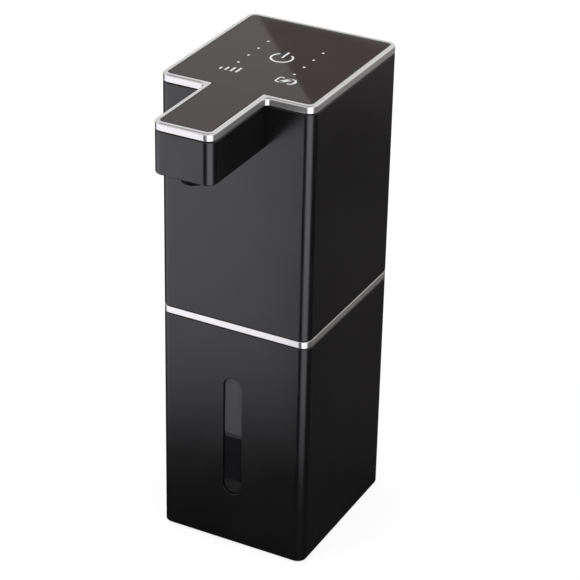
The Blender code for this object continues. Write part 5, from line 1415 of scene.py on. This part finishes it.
@dataclass
class Stage:
    """The pale floor, the room's light, the lamps and the cards that only reflections show.

    The floor's reflected light is graded. Azimuths are in degrees from the front towards the right,
    about the casing's front right corner, and distances are in metres from the middle.
    """

    floor_half: float = 4.0
    floor_drop: float = 0.0001
    floor_grey: float = 0.80
    shadow_share: float = 0.30
    room: float = 0.62
    lamp_size: float = 1.4
    key_lamp: tuple[Point, float] = ((-0.9, -1.1, 1.5), 7.0)
    fill_lamp: tuple[Point, float] = ((1.5, -0.4, 0.9), 6.0)
    lamp_aim: Point = (0.0, 0.0, 0.1)
    wall_card: tuple[Point, ...] = ((-0.467, 0.855, 0.568), (-0.345, 0.877, 0.580), (-0.376, 0.784, 0.606))
    wall_glow: float = 0.38
    ceiling_card: tuple[Point, ...] = (
        (-0.9, -0.9, 1.3), (0.5, -0.9, 1.3), (0.5, 0.5, 1.3), (-0.9, 0.5, 1.3),
    )
    ceiling_glow: float = 0.3
    corner: Point = (0.031, -0.035, 0.0)
    reach: float = 0.5
    front_strength: float = 3.1
    front_around: tuple[Pair, ...] = (
        (-180, 0.0), (-95, 0.0), (-70, 0.55), (-26.2, 0.56), (-22.2, 0.01), (6, 0.01), (24, 0.82),
        (62, 0.82), (84, 0.0), (180, 0.0),
    )
    front_away: tuple[Pair, ...] = (
        (0.049, 0.01), (0.080, 0.02), (0.096, 0.04), (0.112, 0.12), (0.129, 0.25), (0.147, 0.38),
        (0.165, 0.50), (0.183, 0.61), (0.203, 0.685), (0.243, 0.77), (0.286, 0.825), (0.339, 0.87),
        (0.40, 0.96), (0.43, 1.0), (0.48, 1.0),
    )
    back_strength: float = 0.4
    back_around: tuple[Pair, ...] = (
        (-180, 1.0), (-110, 1.0), (-95, 0.0), (140, 0.0), (150, 1.0), (180, 1.0),
    )
    back_away: tuple[Pair, ...] = (
        (0.04, 0.05), (0.10, 0.125), (0.15, 0.14), (0.20, 0.15), (0.27, 0.17), (0.33, 0.16), (0.36, 0.14),
        (0.42, 0.14), (0.45, 0.20), (0.49, 0.42),
    )
    cool: Point = (0.985, 0.975, 1.045)
    warm: Point = (1.10, 0.98, 0.99)

    def build(self) -> None:
        """Builds the floor, the room, the lamps and the cards."""
        self.build_floor()
        self.build_world()
        self.build_lamp("key_lamp", *self.key_lamp)
        self.build_lamp("fill_lamp", *self.fill_lamp)
        self.build_card("wall_card", self.wall_card, self.wall_glow)
        self.build_card("ceiling_card", self.ceiling_card, self.ceiling_glow)

    def build_flat(self, name: str, corners: Sequence[Point]) -> tuple[bpy.types.Object, Tree]:
        """A flat piece of the stage, whose own glow is no lamp.

        Args:
            name: its name.
            corners: its corners in order.

        Returns:
            The piece, and its material's tree to fill.
        """
        mesh = mesh_of(Shape(np.array(corners), [tuple(range(len(corners)))]))
        piece = linked(name, mesh)
        made, tree = bare_material(name)
        made.cycles.emission_sampling = "NONE"
        mesh.materials.append(made)
        return piece, tree

    def build_card(self, name: str, corners: Sequence[Point], glow: float) -> None:
        """A flat grey card that shows in reflections and lights nothing.

        Args:
            name: the card's name.
            corners: its corners in order.
            glow: its brightness.
        """
        card, tree = self.build_flat(name, corners)
        for ray in ("camera", "diffuse", "transmission", "shadow", "volume_scatter"):
            setattr(card, "visible_" + ray, False)
        tree.add("OutputMaterial", {0: tree.add("Emission", {"Strength": glow}).outputs[0]})

    def shown(self, tree: Tree, path: bpy.types.Node) -> bpy.types.NodeSocket:
        """1 for a ray from the camera, straight or through something clear, and 0 for others."""
        return tree.math("MAXIMUM", path.outputs["Is Camera Ray"], path.outputs["Is Transmission Ray"])

    def build_floor(self) -> None:
        """A large plane whose own light shows to the camera, and whose reflected light is graded."""
        half, level, share = self.floor_half, -self.floor_drop, self.shadow_share
        corners = ((-half, -half, level), (half, -half, level), (half, half, level), (-half, half, level))
        tree = self.build_flat("floor", corners)[1]
        path = tree.add("LightPath")
        plain = tree.add("BsdfDiffuse", {"Color": (self.floor_grey,) * 3 + (1.0,)})
        dim = tree.add("BsdfDiffuse", {"Color": (share, share, share, 1.0)})
        white = tree.add("Emission", {"Strength": 1.0 - share / 2})
        pale = tree.add("AddShader", {0: dim.outputs[0], 1: white.outputs[0]})
        direct = tree.mix(self.shown(tree, path), plain, pale)
        first_bounce = tree.math("LESS_THAN", path.outputs["Ray Depth"], 1.5)
        graded = tree.mix(first_bounce, tree.add("Emission", {"Strength": 0.0}), self.reflection(tree))
        last = tree.mix(path.outputs["Is Glossy Ray"], direct, graded)
        tree.add("OutputMaterial", {0: last.outputs[0]})

    def reflection(self, tree: Tree) -> bpy.types.Node:
        """The floor's light in reflections.

        A cool front part and a warm back part, each a ramp round the corner times a ramp outwards.

        Args:
            tree: the floor's tree.

        Returns:
            The node that adds the two parts.
        """
        spot = tree.add("TexCoord").outputs["Object"]
        near = tree.add("VectorMath", {0: spot, 1: self.corner}, operation="SUBTRACT").outputs[0]
        split = tree.add("SeparateXYZ", {0: near})
        turn = tree.math("ARCTAN2", split.outputs[0], tree.math("MULTIPLY", split.outputs[1], -1.0))
        share = tree.math("MULTIPLY_ADD", turn, 1 / (2 * math.pi), 0.5)
        length = tree.add("VectorMath", {0: spot}, operation="LENGTH").outputs["Value"]
        away = tree.math("DIVIDE", length, self.reach)
        parts = []
        for around, outwards, strength, tone in (
            (self.front_around, self.front_away, self.front_strength, self.cool),
            (self.back_around, self.back_away, self.back_strength, self.warm),
        ):
            round_it = tree.ramp(share, [((angle + 180) / 360, value) for angle, value in around])
            out_from = tree.ramp(away, [(distance / self.reach, value) for distance, value in outwards])
            level = tree.math("MULTIPLY", tree.math("MULTIPLY", round_it, out_from), strength)
            parts.append(tree.add("Emission", {"Color": tone + (1.0,), "Strength": level}).outputs[0])
        return tree.add("AddShader", {0: parts[0], 1: parts[1]})

    def build_world(self) -> None:
        """A white room to the camera and in reflections, and a plain pale one for soft light."""
        world = bpy.data.worlds.new("room")
        bpy.context.scene.world = world
        world.use_nodes = True
        world.node_tree.nodes.clear()
        tree = Tree(world.node_tree)
        path = tree.add("LightPath")
        seen = tree.math("MAXIMUM", self.shown(tree, path), path.outputs["Is Glossy Ray"])
        soft = tree.add("Background", {"Strength": self.room})
        white = tree.add("Background", {"Color": (1.0, 1.0, 1.0, 1.0), "Strength": 1.0})
        tree.add("OutputWorld", {0: tree.mix(seen, soft, white).outputs[0]})

    def build_lamp(self, name: str, spot: Point, power: float) -> None:
        """A soft square lamp that faces the object and stays out of its reflections.

        Args:
            name: the lamp's name.
            spot: its place.
            power: its power in watts.
        """
        data = bpy.data.lights.new(name, "AREA")
        data.size = self.lamp_size
        data.energy = power
        lamp = linked(name, data)
        lamp.location = spot
        aim = Vector(self.lamp_aim) - Vector(spot)
        lamp.rotation_euler = aim.to_track_quat("-Z", "Y").to_euler()
        lamp.visible_glossy = False
        lamp.visible_camera = False


@dataclass(frozen=True)
class Viewpoint:
    """The photograph's camera, as fitted to its edges: angles in degrees, lengths in metres."""

    azimuth: float = 27.02
    elevation: float = 28.42
    roll: float = 1.28
    distance: float = 0.89957
    aim: Point = (0.0, 0.0, 0.10816)
    across: float = -0.005344
    up: float = 0.004675
    focal_pixels: float = 2209.35
    frame_pixels: float = 580.0
    sensor: float = 36.0
    clip: Pair = (0.05, 20.0)

    def build(self) -> None:
        """Makes the camera: C = aim - (across right + up up - distance back)."""
        az, el, roll = (math.radians(a) for a in (self.azimuth, self.elevation, self.roll))
        back = Vector((math.sin(az) * math.cos(el), -math.cos(az) * math.cos(el), math.sin(el)))
        level = Vector((math.cos(az), math.sin(az), 0.0))
        upright = back.cross(level)
        right = math.cos(roll) * level + math.sin(roll) * upright
        top = math.cos(roll) * upright - math.sin(roll) * level
        data = bpy.data.cameras.new("camera")
        data.lens = self.focal_pixels / self.frame_pixels * self.sensor
        data.sensor_width = self.sensor
        data.clip_start, data.clip_end = self.clip
        camera = linked("camera", data)
        turn = Matrix((right, top, back)).transposed().to_4x4()
        spot = Vector(self.aim) - (self.across * right + self.up * top - self.distance * back)
        camera.matrix_world = Matrix.Translation(spot) @ turn
        bpy.context.scene.camera = camera


def main() -> None:
    """Builds the dispenser's looks and the stage."""
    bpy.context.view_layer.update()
    Viewpoint().build()
    casing = read_casing()
    Reservoir(casing).build()
    PumpUnit(casing).build()
    TouchTop(casing).build()
    CarriedNodes(frame["record"]).dress()
    Stage().build()
    bpy.context.scene.view_settings.view_transform = "Standard"


if __name__ == "__main__":
    main()
